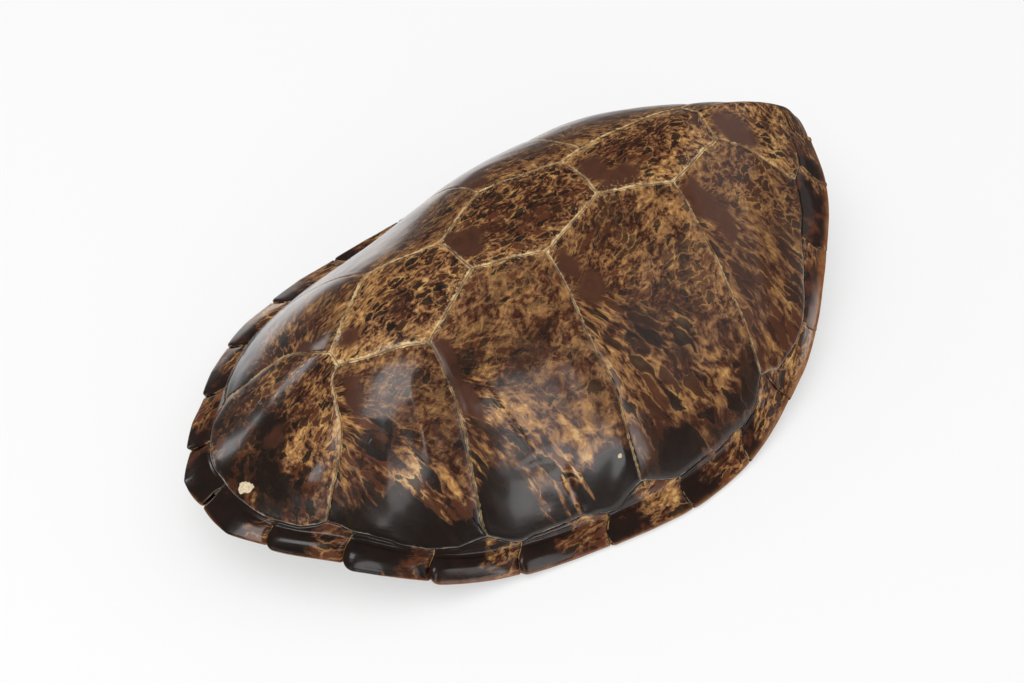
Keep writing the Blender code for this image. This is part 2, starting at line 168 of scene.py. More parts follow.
@dataclass
class ShellForm:
    """The carapace's outer face: a dome of ribs that fan out from the midline to the gutter of the rim."""

    length: float = 700.0
    midline_y: float = 7.55
    left_narrower: dict[int, float] = field(
        default_factory=lambda: {3: -2, 4: -3, 5: 5, 6: 17, 7: 11, 8: 7, 9: 5}
    )
    left_fuller: dict[int, float] = field(
        default_factory=lambda: {4: -0.24, 5: -0.16, 6: 0.27, 7: 0.16, 8: 0.02, 9: -0.11, 10: -0.03}
    )
    ridge_top: float = 200.0
    ridge_top_at: float = 487.0
    tail_drop: float = 41.0
    tail_drop_over: float = 347.0
    tail_drop_power: float = 2.9
    head_drop: float = 4.0
    head_drop_over: float = 178.0
    foot_rear: float = 221.0
    foot_front: float = 500.0
    foot_crowding: float = 0.9
    dome_power: float = 1.9
    halvings: int = 24  # that find the rib over a plan point
    slope_step: float = 2.0
    grid_step: float = 4.0
    grid_low: Plan = (-40.0, -280.0)
    grid_high: Plan = (740.0, 280.0)

    def __post_init__(self) -> None:
        """Makes the rim's curves and a fine grid of heights to read the dome from."""
        self.edge = closed_curve(self._all_round([station.edge for station in STATIONS]))
        self.gutter = closed_curve(self._all_round([station.gutter for station in STATIONS]))
        left = [(self.dome_power + self.left_fuller.get(number, 0.0),) for number in range(HALF)]
        self.power = closed_curve([(self.dome_power,)] * (HALF + 1) + left[:0:-1])
        xs = np.arange(self.grid_low[0], self.grid_high[0], self.grid_step)
        ys = np.arange(self.grid_low[1], self.grid_high[1], self.grid_step)
        self.grid = self._dome_height(*np.meshgrid(xs, ys, indexing="ij"))

    def _all_round(self, places: Sequence[Place]) -> list[Place]:
        """The right side's places from tail to head, then the narrower left side's back to the tail."""
        right = [(x, -y, z) for x, y, z in places]
        left = [(x, y - self.left_narrower.get(number, 0), z) for number, (x, y, z) in enumerate(places)]
        return right + left[-2:0:-1]

    def ridge(self, x: Array) -> Array:
        """Height of the dome's midline."""
        behind = np.clip(self.ridge_top_at - x, 0, None) / self.tail_drop_over
        ahead = np.clip(x - self.ridge_top_at, 0, None) / self.head_drop_over
        return self.ridge_top - self.tail_drop * behind**self.tail_drop_power - self.head_drop * ahead**2

    def foot(self, station: Array) -> Array:
        """Where on the midline the rib to this station starts."""
        share = np.minimum(station, ALL - station) / HALF
        crowded = share - self.foot_crowding * np.sin(2 * np.pi * share) / (2 * np.pi)
        return self.foot_rear + (self.foot_front - self.foot_rear) * crowded

    def plan(self, station: Array, share: Array) -> Array:
        """The plan point this share of the way from the midline to the gutter."""
        gutter = self.gutter(station)
        foot = self.foot(station)
        return np.stack([foot + (gutter[..., 0] - foot) * share, gutter[..., 1] * share], axis=-1)

    def _dome_height(self, x: Array, y: Array) -> Array:
        """Height over a plan point: it finds the rib that the point lies under by halving."""
        least = 1e-6  # keeps the midline itself from having no rib
        out = np.maximum(np.abs(y), least)
        low = np.zeros_like(x)
        high = np.full_like(x, HALF)
        for _ in range(self.halvings):
            middle = (low + high) / 2
            gutter = self.gutter(np.where(y > 0, ALL - middle, middle))
            foot = self.foot(middle)
            ahead = (x - foot) * np.abs(gutter[..., 1]) > out * (gutter[..., 0] - foot)
            low = np.where(ahead, middle, low)
            high = np.where(ahead, high, middle)
        station = np.where(y > 0, ALL - low, low)
        gutter = self.gutter(station)
        foot = self.foot(station)
        share = np.hypot(x - foot, out) / np.hypot(gutter[..., 0] - foot, gutter[..., 1])
        base = gutter[..., 2]
        return base + (self.ridge(x) - base) * (1 - share ** self.power(station)[..., 0])

    def height(self, plan: Array) -> Array:
        """Height of the outer face over plan points, read smoothly from the grid."""
        here = (np.asarray(plan, float)[..., :2] - self.grid_low) / self.grid_step
        whole = np.floor(here).astype(int)
        part = here - whole
        limit = np.array(self.grid.shape) - 3
        whole = np.clip(whole, 1, limit)
        weights = np.stack(
            [
                part * (-1 + part * (2 - part)) / 2,
                1 + part**2 * (3 * part - 5) / 2,
                part * (1 + part * (4 - 3 * part)) / 2,
                part**2 * (part - 1) / 2,
            ]
        )
        total = np.zeros(here.shape[:-1])
        for i in range(4):
            for j in range(4):
                cell = self.grid[whole[..., 0] + i - 1, whole[..., 1] + j - 1]
                total += weights[i, ..., 0] * weights[j, ..., 1] * cell
        return total

    def on_dome(self, plan: Array) -> tuple[Array, Array]:
        """Points of the outer face over plan points, and the directions out of it."""
        plan = np.asarray(plan, float)[..., :2]
        step = self.slope_step
        along = (self.height(plan + (step, 0)) - self.height(plan - (step, 0))) / (2 * step)
        across = (self.height(plan + (0, step)) - self.height(plan - (0, step))) / (2 * step)
        normal = unit(np.stack([-along, -across, np.ones_like(along)], axis=-1))
        return np.concatenate([plan, self.height(plan)[..., None]], axis=-1), normal

    def in_frame(self, points: Array) -> Array:
        """Shell millimetres as metres in the frame's axes."""
        return (points - (self.length / 2, -self.midline_y, 0)) * MM


FORM = ShellForm()


# ---- Relief and markings that a person would point out, each given one by one ----


def other_side(place: Plan) -> Plan:
    """The plan point across the midline."""
    return place[0], -place[1]


@dataclass(frozen=True)
class Swell:
    """A low bump, or with a negative height a dent, centred on a plan point."""

    at: Plan
    radius: float
    height: float

    def lift(self, plan: Array) -> Array:
        """How far it raises the surface over plan points."""
        away = np.hypot(plan[..., 0] - self.at[0], plan[..., 1] - self.at[1])
        return self.height * np.exp(-((away / self.radius) ** 2))


@dataclass(frozen=True)
class Fold:
    """A ridge, or with a negative height a crease, from one plan point to another."""

    start: Plan
    end: Plan
    width: float
    height: float

    def lift(self, plan: Array) -> Array:
        """How far it raises the surface over plan points. It fades out at both ends."""
        start, end = np.array(self.start), np.array(self.end)
        run = end - start
        share = np.clip(((plan[..., :2] - start) @ run) / (run @ run), 0, 1)
        away = np.linalg.norm(plan[..., :2] - (start + share[..., None] * run), axis=-1)
        return self.height * np.sin(np.pi * (0.1 + 0.8 * share)) * np.exp(-((away / self.width) ** 2))


PATCH_FADES = (0.55, 1.15)  # where a patch starts and ends fading out, in radii


@dataclass(frozen=True)
class Patch:
    """An oval of darker keratin, or with a negative shade lighter, turned by an angle in degrees."""

    at: Plan
    radii: Plan
    turned: float
    shade: float

    def tone(self, plan: Array) -> Array:
        """How much darker it makes the surface at plan points."""
        turn = math.radians(self.turned)
        x, y = plan[..., 0] - self.at[0], plan[..., 1] - self.at[1]
        along = (x * math.cos(turn) + y * math.sin(turn)) / self.radii[0]
        across = (y * math.cos(turn) - x * math.sin(turn)) / self.radii[1]
        return self.shade * (1 - eased(np.hypot(along, across), *PATCH_FADES))

    def mirrored(self) -> "Patch":
        """The same oval on the animal's other side."""
        return replace(self, at=other_side(self.at), turned=-self.turned)


# ---- Meshes ----


def spread(count: int, length: float, lips: Sequence[float]) -> Array:
    """Places from 0 to length, evenly spaced but for a few close to each end.

    Args:
        count: how many places.
        length: the last place.
        lips: the distances from either end of the close ones, from 0 up.

    Returns:
        The places, in order.
    """
    inner = np.linspace(lips[-1], length - lips[-1], count - 2 * len(lips) + 2)
    start = np.array(lips[:-1])
    return np.concatenate([start, inner, length - start[::-1]])


PATH_STEPS = 8  # between one control point and the next


def along_path(points: Array, shares: Array) -> Array:
    """Places along each smooth path through rows of points.

    Args:
        points: control points, as (paths, points, 3).
        shares: how far along its path each place is, from 0 to 1.

    Returns:
        The places, as (paths, shares, 3).
    """
    before = 2 * points[:, :1] - points[:, 1:2]
    after = 2 * points[:, -1:] - points[:, -2:-1]
    knots = np.concatenate([before, points, after], axis=1)
    parts = np.linspace(0, 1, PATH_STEPS + 1)[:-1][:, None]
    fine = []
    for i in range(points.shape[1] - 1):
        a, b, c, d = (knots[:, i + j, None] for j in range(4))
        curve = 2 * b + (c - a) * parts + (2 * a - 5 * b + 4 * c - d) * parts**2
        fine.append((curve + (3 * b - a - 3 * c + d) * parts**3) / 2)
    fine.append(points[:, -1:])
    path = np.concatenate(fine, axis=1)
    steps = np.linalg.norm(np.diff(path, axis=1), axis=2)
    run = np.concatenate([np.zeros((len(path), 1)), np.cumsum(steps, axis=1)], axis=1)
    rows = [
        np.stack([np.interp(shares * run[i, -1], run[i], path[i, :, k]) for k in range(3)], axis=1)
        for i in range(len(path))
    ]
    return np.array(rows)


def resampled(line: Array, spacing: float) -> Array:
    """The open line's points at about this spacing, without its last one."""
    steps = np.linalg.norm(np.diff(line, axis=0), axis=1)
    run = np.concatenate([[0], np.cumsum(steps)])
    count = max(2, round(run[-1] / spacing))
    wanted = np.linspace(0, run[-1], count + 1)[:-1]
    return np.stack([np.interp(wanted, run, line[:, 0]), np.interp(wanted, run, line[:, 1])], axis=1)


def edge_distance(plan: Array, outline: Array) -> Array:
    """Distance of each plan point from a closed outline, in plan."""
    points = plan.reshape(-1, 2)
    runs = np.roll(outline, -1, axis=0) - outline
    lengths = (runs**2).sum(axis=1)
    best = np.full(len(points), np.inf)
    for start, run, length in zip(outline, runs, lengths):
        share = np.clip(((points - start) @ run) / length, 0, 1)
        away = np.hypot(points[:, 0] - start[0] - share * run[0], points[:, 1] - start[1] - share * run[1])
        best = np.minimum(best, away)
    return best.reshape(plan.shape[:-1])


def nearest(plan: Array, line: Array) -> Array:
    """Distance of each plan point from the nearest point of a finely drawn line."""
    best = np.full(len(plan), np.inf)
    for point in line:
        best = np.minimum(best, np.hypot(plan[:, 0] - point[0], plan[:, 1] - point[1]))
    return best


INSIDE = (350.0, 0.0, 60.0)  # a place in the hollow, in shell millimetres


def outward_normals(sheet: Array) -> Array:
    """Directions out of the shell at a grid of places on its rim."""
    normal = unit(np.cross(np.gradient(sheet, axis=0), np.gradient(sheet, axis=1)))
    return -normal if (normal * (sheet - INSIDE)).sum() < 0 else normal


@dataclass
class Skin:
    """What a piece's vertices carry besides their places."""

    flow: Array  # millimetres across the growth, along it, and a number that picks the pattern
    side_flow: Array  # the same for growth towards the rim, and how much of it there is
    growth: Array  # millimetres from the seam, from the areola's middle, and shade
    accent: Array  # calm horn without flecks, warmth, and on a plate how pale the seam is, on a rim scute the painted glow along its edge


def flow_from(source: Plan, plan: Array, around: float) -> Array:
    """How far plan points lie across and along lines that fan out from a source.

    Args:
        source: where the lines start.
        plan: the points.
        around: the distance from the source, in millimetres, at which a millimetre across is a true one.

    Returns:
        The two distances, in millimetres, in the last axis.
    """
    rays = plan[..., :2] - np.array(source)
    middle = rays.reshape(-1, 2).mean(axis=0)
    turn = np.arctan2(rays[..., 1], rays[..., 0]) - math.atan2(middle[1], middle[0])
    turn = (turn + np.pi) % (2 * np.pi) - np.pi
    return np.stack([turn * around, np.hypot(rays[..., 0], rays[..., 1])], axis=-1)


def vertex_places(bm: bmesh.types.BMesh) -> Array:
    """The vertices' places, as rows."""
    return np.array([vert.co for vert in bm.verts])


def grid_numbers(bm: bmesh.types.BMesh, columns: int, rows: int) -> tuple[Array, Array]:
    """The column and the row of each vertex in a grid that reaches from -1 to 1."""
    grid = vertex_places(bm)
    column = np.rint((grid[:, 0] + 1) / 2 * columns).astype(int)
    row = np.rint((grid[:, 1] + 1) / 2 * rows).astype(int)
    return column, row


def piece_from(name: str, bm: bmesh.types.BMesh, points: Array, skin: Skin | None) -> Piece:
    """Makes an object of a mesh whose vertices go to new places.

    Args:
        name: the object's name.
        bm: the mesh, which is freed.
        points: the vertices' places in shell millimetres.
        skin: what the vertices carry for the material, or None.

    Returns:
        The linked object, shaded smooth, with its faces pointing out.
    """
    placed = FORM.in_frame(points)
    for vert, place in zip(bm.verts, placed):
        vert.co = place
    if bm.calc_volume(signed=True) < 0:
        bmesh.ops.reverse_faces(bm, faces=bm.faces)
    mesh = bpy.data.meshes.new(name)
    bm.to_mesh(mesh)
    bm.free()
    mesh.shade_smooth()
    if skin is not None:
        for key in ("flow", "side_flow", "growth", "accent"):
            layer = mesh.attributes.new(key, "FLOAT_VECTOR", "POINT")
            layer.data.foreach_set("vector", getattr(skin, key).astype(np.float32).ravel())
    made = bpy.data.objects.new(name, mesh)
    bpy.context.scene.collection.objects.link(made)
    return made


# ---- Seams ----


@dataclass
class SideSeams:
    """One side's seams between costal scutes, in plan, with distances out from the midline as positive."""

    side: Side
    corners: Sequence[Plan]  # of the vertebral scutes, from the head to the tail
    ends: Sequence[float]  # right-side station numbers where the seams reach the gutter
    bends: Sequence[Sequence[Plan]]  # places that each seam goes through on its way there

    def at(self, place: Plan) -> Plan:
        """The plan point of a place on this side."""
        return place[0], place[1] * self.side.value

    def station(self, right: float) -> float:
        """This side's station number for a right-side one."""
        return right if self.side is Side.RIGHT else ALL - right

    def corner(self, number: int) -> Plan:
        """Plan point of a vertebral corner, 0 to 6."""
        return self.at(self.corners[number])


@dataclass
class SeamMap:
    """Where the seams between the scutes run."""

    spacing: float = 2.2  # between an outline's points
    rim_points: int = 40  # from one station to the next
    rim_seam_points: int = 520  # all round
    back_points: int = 30
    side_points: int = 60
    gutter_share: float = 0.985
    peak: float = 0.035  # how far the rim seam rises where another meets it, and over how many stations
    peak_reach: float = 0.35
    wear: float = 0.7
    wander: Sequence[tuple[float, float, Plan]] = (  # waves: width, reach and the seeds of both directions
        (42.0, 4.0, (2.9, 7.3)),
        (16.0, 1.6, (1.7, 9.2)),
        (5.0, 0.5, (4.1, 6.6)),
    )
    right: SideSeams = field(
        default_factory=lambda: SideSeams(
            Side.RIGHT,
            ((555, 28), (479, 50), (412, 26), (339, 45), (275, 23), (212, 49), (145, 7)),
            (10.667, 7.9, 5.54, 3.667, 1.667),
            (
                ((583, 41), (615, 60)),
                ((478, 120),),
                ((334, 99), (330, 155)),
                ((206, 91), (183, 153)),
                ((134, 15), (122, 40), (103, 61)),
            ),
        )
    )
    left: SideSeams = field(
        default_factory=lambda: SideSeams(
            Side.LEFT,
            ((556, 24), (437, 30), (412, 24), (337, 50), (275, 23), (212, 50), (146, 7)),
            (10.667, 7.667, 5.54, 3.667, 1.667),
            (
                ((583, 40), (615, 59)),
                ((437, 77),),
                ((338, 95), (330, 150)),
                ((203, 98), (184, 150)),
                ((139, 24), (127, 50), (101, 71)),
            ),
        )
    )

    def of(self, side: Side) -> SideSeams:
        """The seams of a side."""
        return self.right if side is Side.RIGHT else self.left

    def worn(self, line: Array) -> Array:
        """The line with the small wandering that grown seams have."""
        pushes = [
            np.stack([waviness(line, wave, seed) for seed in seeds], axis=-1) * reach
            for wave, reach, seeds in self.wander
        ]
        return line + self.wear * sum(pushes)

    def rim_line(self, stations: Array) -> Array:
        """Plan points of the seam between the costal and the rim scutes."""
        right = np.minimum(stations, ALL - stations)
        peaks = np.zeros_like(stations)
        for side in Side:
            mine = stations <= HALF if side is Side.RIGHT else stations > HALF
            for end in self.of(side).ends:
                tent = np.clip(1 - np.abs(right - end) / self.peak_reach, 0, 1)
                peaks = np.maximum(peaks, np.where(mine, tent, 0))
        return self.worn(FORM.plan(stations, self.gutter_share - self.peak * peaks))

    def rim_run(self, start: float, end: float) -> Array:
        """The rim seam from one station to another."""
        count = max(3, round(abs(end - start) * self.rim_points))
        return self.rim_line(np.linspace(start, end, count))

    def straight(self, start: Plan, end: Plan) -> Array:
        """A seam from corner to corner."""
        return self.worn(np.linspace(start, end, self.back_points))

    def down(self, side: Side, number: int) -> Array:
        """The seam in front of a costal scute, from its corner to the rim. Number 5 is behind costal 4."""
        seams = self.of(side)
        corner = seams.corner((0, 1, 3, 5, 6)[number - 1])
        station = np.array([seams.station(seams.ends[number - 1])])
        foot = FORM.plan(station, self.gutter_share - self.peak)[0]
        places = [corner] + [seams.at(place) for place in seams.bends[number - 1]] + [tuple(foot)]
        knots = np.array([[(x, y, 0.0) for x, y in places]])
        return self.worn(along_path(knots, np.linspace(0, 1, self.side_points))[0][:, :2])

    def back_line(self, side: Side) -> Array:
        """The seam beside the vertebral scutes, from the head to the tail."""
        corners = [self.of(side).corner(number) for number in range(7)]
        return np.concatenate([self.straight(a, b) for a, b in zip(corners, corners[1:])])

    def closed(self, lines: Iterable[Array]) -> Array:
        """A closed outline of lines that follow each other, with a point on every corner."""
        return np.concatenate([resampled(line, self.spacing) for line in lines])

    def costal(self, side: Side, number: int) -> Array:
        """Outline of a costal scute, in plan."""
        seams = self.of(side)
        tops = ((0, 1), (1, 2, 3), (3, 4, 5), (5, 6))[number - 1]
        lines = [self.straight(seams.corner(a), seams.corner(b)) for a, b in zip(tops, tops[1:])]
        lines.append(self.down(side, number + 1))
        ends = [seams.station(end) for end in seams.ends]
        lines.append(self.rim_run(ends[number], ends[number - 1]))
        lines.append(self.down(side, number)[::-1])
        return self.closed(lines)

    def vertebral(self, number: int) -> Array:
        """Outline of a vertebral scute, in plan."""
        right, left = self.right, self.left
        if number == 1:
            lines = [self.straight(left.corner(0), right.corner(0)), self.down(Side.RIGHT, 1)]
            lines.append(self.rim_run(right.ends[0], ALL - left.ends[0]))
            lines.append(self.down(Side.LEFT, 1)[::-1])
            return self.closed(lines)
        if number == 5:
            lines = [self.straight(right.corner(6), left.corner(6)), self.down(Side.LEFT, 5)]
            lines.append(self.rim_run(ALL - left.ends[4], ALL))
            lines.append(self.rim_run(0, right.ends[4]))
            lines.append(self.down(Side.RIGHT, 5)[::-1])
            return self.closed(lines)
        front = 2 * number - 4
        ring = [right.corner(front + i) for i in range(3)] + [left.corner(front + i) for i in (2, 1, 0)]
        return self.closed([self.straight(a, b) for a, b in zip(ring, ring[1:] + ring[:1])])


SEAMS = SeamMap()


# ---- Scutes ----

HALF_GAP = 0.2  # between a scute and its seam
LIPS = (0.0, 0.35, 0.9, 1.8)  # rows close to an edge that round it over
LIP_DROP = 0.6
SCUTE_THICKNESS = 2.5
INLAND_PLATE = (0.0, 8.0)  # millimetres from the seam over which relief sets in
INLAND_RIM = (0.0, 6.0)
SUNK = 1.3  # how far the horn's face lies under the form, so that its relief stays inside the frame's box


def swept(outline: Array) -> Array:
    """Twice the signed area that each step of an outline sweeps about the plan's origin."""
    after = np.roll(outline, -1, axis=0)
    return outline[:, 0] * after[:, 1] - after[:, 0] * outline[:, 1]


def lip(distance: Array) -> Array:
    """How far the surface rolls down this close to an edge."""
    return -LIP_DROP * (1 - np.clip(distance / LIPS[-1], 0, 1)) ** 2


def wandering(places: Array, wander: Place) -> Array:
    """How far an edge of a tone wanders at places, from a reach, a width of waves and a seed."""
    reach, width, seed = wander
    return reach * waviness(places, width, seed)


@dataclass(frozen=True)
class PlateLook:
    """What tells one vertebral or costal scute from another. Its places are plan points."""

    areola: Plan  # where growth started
    calm: Sequence[Patch]  # where the horn has no flecks
    corner: Plan | None = None  # a line from the areola to here parts outward growth from forward growth
    crown: float = 0.7  # how far the middle stands over the seams
    skirt: float = 0.0  # how dark the end over the rim is
    shade: float = 0.0
    warmth: float = 0.0
    coarse: float = 0.0  # from 0 for the fine pattern of forward growth to 1 for the coarse one
    blotchy: float = 1.0  # how many times shorter than usual its streaks are
    muted: float = 0.0  # how far its pattern sinks into a plain brown
    relief: Sequence[Swell | Fold] = ()
    patches: Sequence[Patch] = ()  # its darkest and palest places

    def mirrored(self) -> "PlateLook":
        """The look of its partner on the other side, which has no marks of its own."""
        return replace(
            self,
            areola=other_side(self.areola),
            calm=[patch.mirrored() for patch in self.calm],
            corner=other_side(self.corner),
            relief=(),
            patches=(),
        )


@dataclass
class PlateScute:
    """A vertebral or costal scute: a plate of horn that follows the dome and rolls over at its seams."""

    name: str
    outline: Array
    look: PlateLook
    sources: tuple[Plan, Plan]  # where the streaks of forward and of outward growth fan out from
    seed: float
    top_rings: int = 46
    under_rings: int = 5
    hub_pull: float = 0.3  # how far the middle of the mesh lies towards the areola
    crown_run: float = 11.0
    waves: Sequence[Plan] = ((0.7, 60.0), (0.22, 17.0))  # heights and widths of the face's waves
    true_ahead: float = 150.0  # how far from their source streaks of forward growth are drawn to scale
    true_outwards: float = 110.0
    parting: float = 16.0  # half the width over which the two kinds of growth blend
    parting_wander: Place = (14.0, 24.0, 6.1)  # how far edges of tones wander, over what waves, and a seed
    skirt_wander: Place = (9.0, 30.0, 8.8)
    calm_wanders: Sequence[Place] = ((7.0, 15.0, 3.3), (7.0, 15.0, 5.1))  # along and out
    skirt_fades: Plan = (4.0, 34.0)  # millimetres from the rim
    back_glow: float = 0.07  # how much lighter horn beside the vertebral scutes' seams is
    back_fades: Plan = (4.0, 22.0)
    pale_sets_in: Plan = (1.0, 6.0)  # millimetres from the rim, where seams turn pale
    side_seam: float = 0.5  # how much less pale seams between costal scutes are
    side_sets_in: Plan = (0.5, 4.0)

    def _inset_outline(self) -> Array:
        """The outline brought in by half the gap."""
        ahead = np.roll(self.outline, -1, axis=0) - np.roll(self.outline, 1, axis=0)
        normal = unit(np.stack([-ahead[:, 1], ahead[:, 0]], axis=-1))
        return self.outline + normal * HALF_GAP * (1 if swept(self.outline).sum() > 0 else -1)

    def _hub(self, outline: Array) -> Array:
        """Where the rings of the mesh close: the middle of the plate, a little towards the areola."""
        areas = swept(outline)
        middle = ((outline + np.roll(outline, -1, axis=0)) * areas[:, None]).sum(axis=0) / (3 * areas.sum())
        return middle * (1 - self.hub_pull) + np.array(self.look.areola) * self.hub_pull

    def _layout(self, bm: bmesh.types.BMesh, outline: Array) -> tuple[Array, Array]:
        """Spreads a ball's rings over the plate: the upper ones on top, the lower ones below.

        Args:
            bm: the empty mesh.
            outline: closed plan outline.

        Returns:
            Plan points of the vertices, and whether each is on the underside.
        """
        rows = self.top_rings + self.under_rings + 1
        bmesh.ops.create_uvsphere(bm, u_segments=len(outline), v_segments=rows, radius=1.0)
        ball = vertex_places(bm)
        row = np.rint(np.arccos(np.clip(ball[:, 2], -1, 1)) / math.pi * rows).astype(int)
        turn = np.arctan2(ball[:, 1], ball[:, 0]) / (2 * math.pi) * len(outline)
        column = np.rint(turn).astype(int) % len(outline)
        hub = self._hub(outline)
        rays = outline[column] - hub
        reach = np.linalg.norm(rays, axis=1)
        close = len(LIPS) - 1
        inner = row / (self.top_rings - close) * (reach - LIPS[-1])
        lips = reach - np.array(LIPS)[np.clip(self.top_rings - row, 0, close)]
        under = row > self.top_rings
        below = reach * (rows - row) / self.under_rings
        away = np.where(row <= self.top_rings - close, inner, lips)
        away = np.where(under, below, away)
        return hub + rays / reach[:, None] * away[:, None], under

    def build(self) -> Piece:
        """Makes the plate.

        Returns:
            The plate's object.
        """
        outline = self._inset_outline()
        bm = bmesh.new()
        plan, under = self._layout(bm, outline)
        base, normal = FORM.on_dome(plan)
        from_seam = edge_distance(plan, outline)
        lift = lip(from_seam) + self.look.crown * (1 - np.exp(-from_seam / self.crown_run))
        inland = eased(from_seam, *INLAND_PLATE)
        lift += inland * sum(wandering(base, (height, width, self.seed)) for height, width in self.waves)
        for shape in self.look.relief:
            lift += inland * shape.lift(plan)
        points = base + normal * np.where(under, -SCUTE_THICKNESS, lift - SUNK)[:, None]
        return piece_from(self.name, bm, points, self._skin(plan, base, from_seam))

    def _skin(self, plan: Array, base: Array, from_seam: Array) -> Skin:
        """The growth directions and tones of the plate.

        Args:
            plan: the vertices' plan points.
            base: the same points on the dome.
            from_seam: distances from the outline.

        Returns:
            What the vertices carry.
        """
        look = self.look
        count = len(plan)
        start = np.array(look.areola, float)
        around = np.linalg.norm(base - FORM.on_dome(start[None])[0][0], axis=1)
        ahead = flow_from(self.sources[0], plan, self.true_ahead)
        outwards = flow_from(self.sources[1], plan, self.true_outwards)
        ahead[:, 1] *= look.blotchy
        outwards[:, 1] *= look.blotchy
        weight = np.full(count, look.coarse)
        if look.corner is not None:
            run = unit(np.array(look.corner, float) - start)
            rays = plan - start
            beside = (run[0] * rays[:, 1] - run[1] * rays[:, 0]) * math.copysign(1, look.corner[1])
            beside += wandering(base, self.parting_wander)
            weight = np.maximum(weight, eased(beside, -self.parting, self.parting))
        warped = plan + np.stack([wandering(base, wander) for wander in self.calm_wanders], axis=-1)
        still = np.full(count, look.muted)
        for patch in look.calm:
            still = np.maximum(still, patch.tone(warped))
        rim = nearest(plan, SEAMS.rim_line(np.linspace(0, ALL, SEAMS.rim_seam_points, endpoint=False)))
        back = np.minimum(*(nearest(plan, SEAMS.back_line(side)) for side in Side))
        in_skirt = 1 - eased(rim + wandering(base, self.skirt_wander), *self.skirt_fades)
        shade = look.shade + look.skirt * in_skirt
        shade = shade - self.back_glow * (1 - eased(back, *self.back_fades))
        for patch in look.patches:
            shade = shade + patch.tone(plan)
        beyond_back = eased(back - from_seam, *self.side_sets_in)
        pale = eased(rim, *self.pale_sets_in) * (1 - self.side_seam * beyond_back)
        return Skin(
            np.column_stack([ahead, np.full(count, self.seed)]),
            np.column_stack([outwards, weight]),
            np.column_stack([from_seam, around, shade]),
            np.column_stack([still, np.full(count, look.warmth), pale]),
        )


@dataclass(frozen=True)
class RimShape:
    """What tells one rim scute from another."""

    tooth: float = 0.0  # how far the rear corner stands out past the next scute
    trim: tuple[float, float, float] = (0.0, 0.0, 0.0)  # how far the rear, middle and front edge stand out
    bulge: float = 1.5
    plain: float = 0.0  # the share of its length, from the rear, that is plain
    shade: float = 0.0
    corner: float = 7.0  # radius of the rear corner in plan
    glow: float = 2.6  # how wide the painted glow along its edge is: orange that stands in for light shining through the thin horn


STATION_STEP = 0.01  # how far either side of a station the rim's direction is read


def edge_step(stations: Array) -> Array:
    """How far the rim's edge runs over two small steps at stations."""
    return FORM.edge(stations + STATION_STEP) - FORM.edge(stations - STATION_STEP)


def ripples(places: Array, waves: Sequence[Place], seed: float) -> Array:
    """Waves at places, from rows of a height, a width and a number to add to the seed."""
    return sum(wandering(places, (height, width, seed + shift)) for height, width, shift in waves)


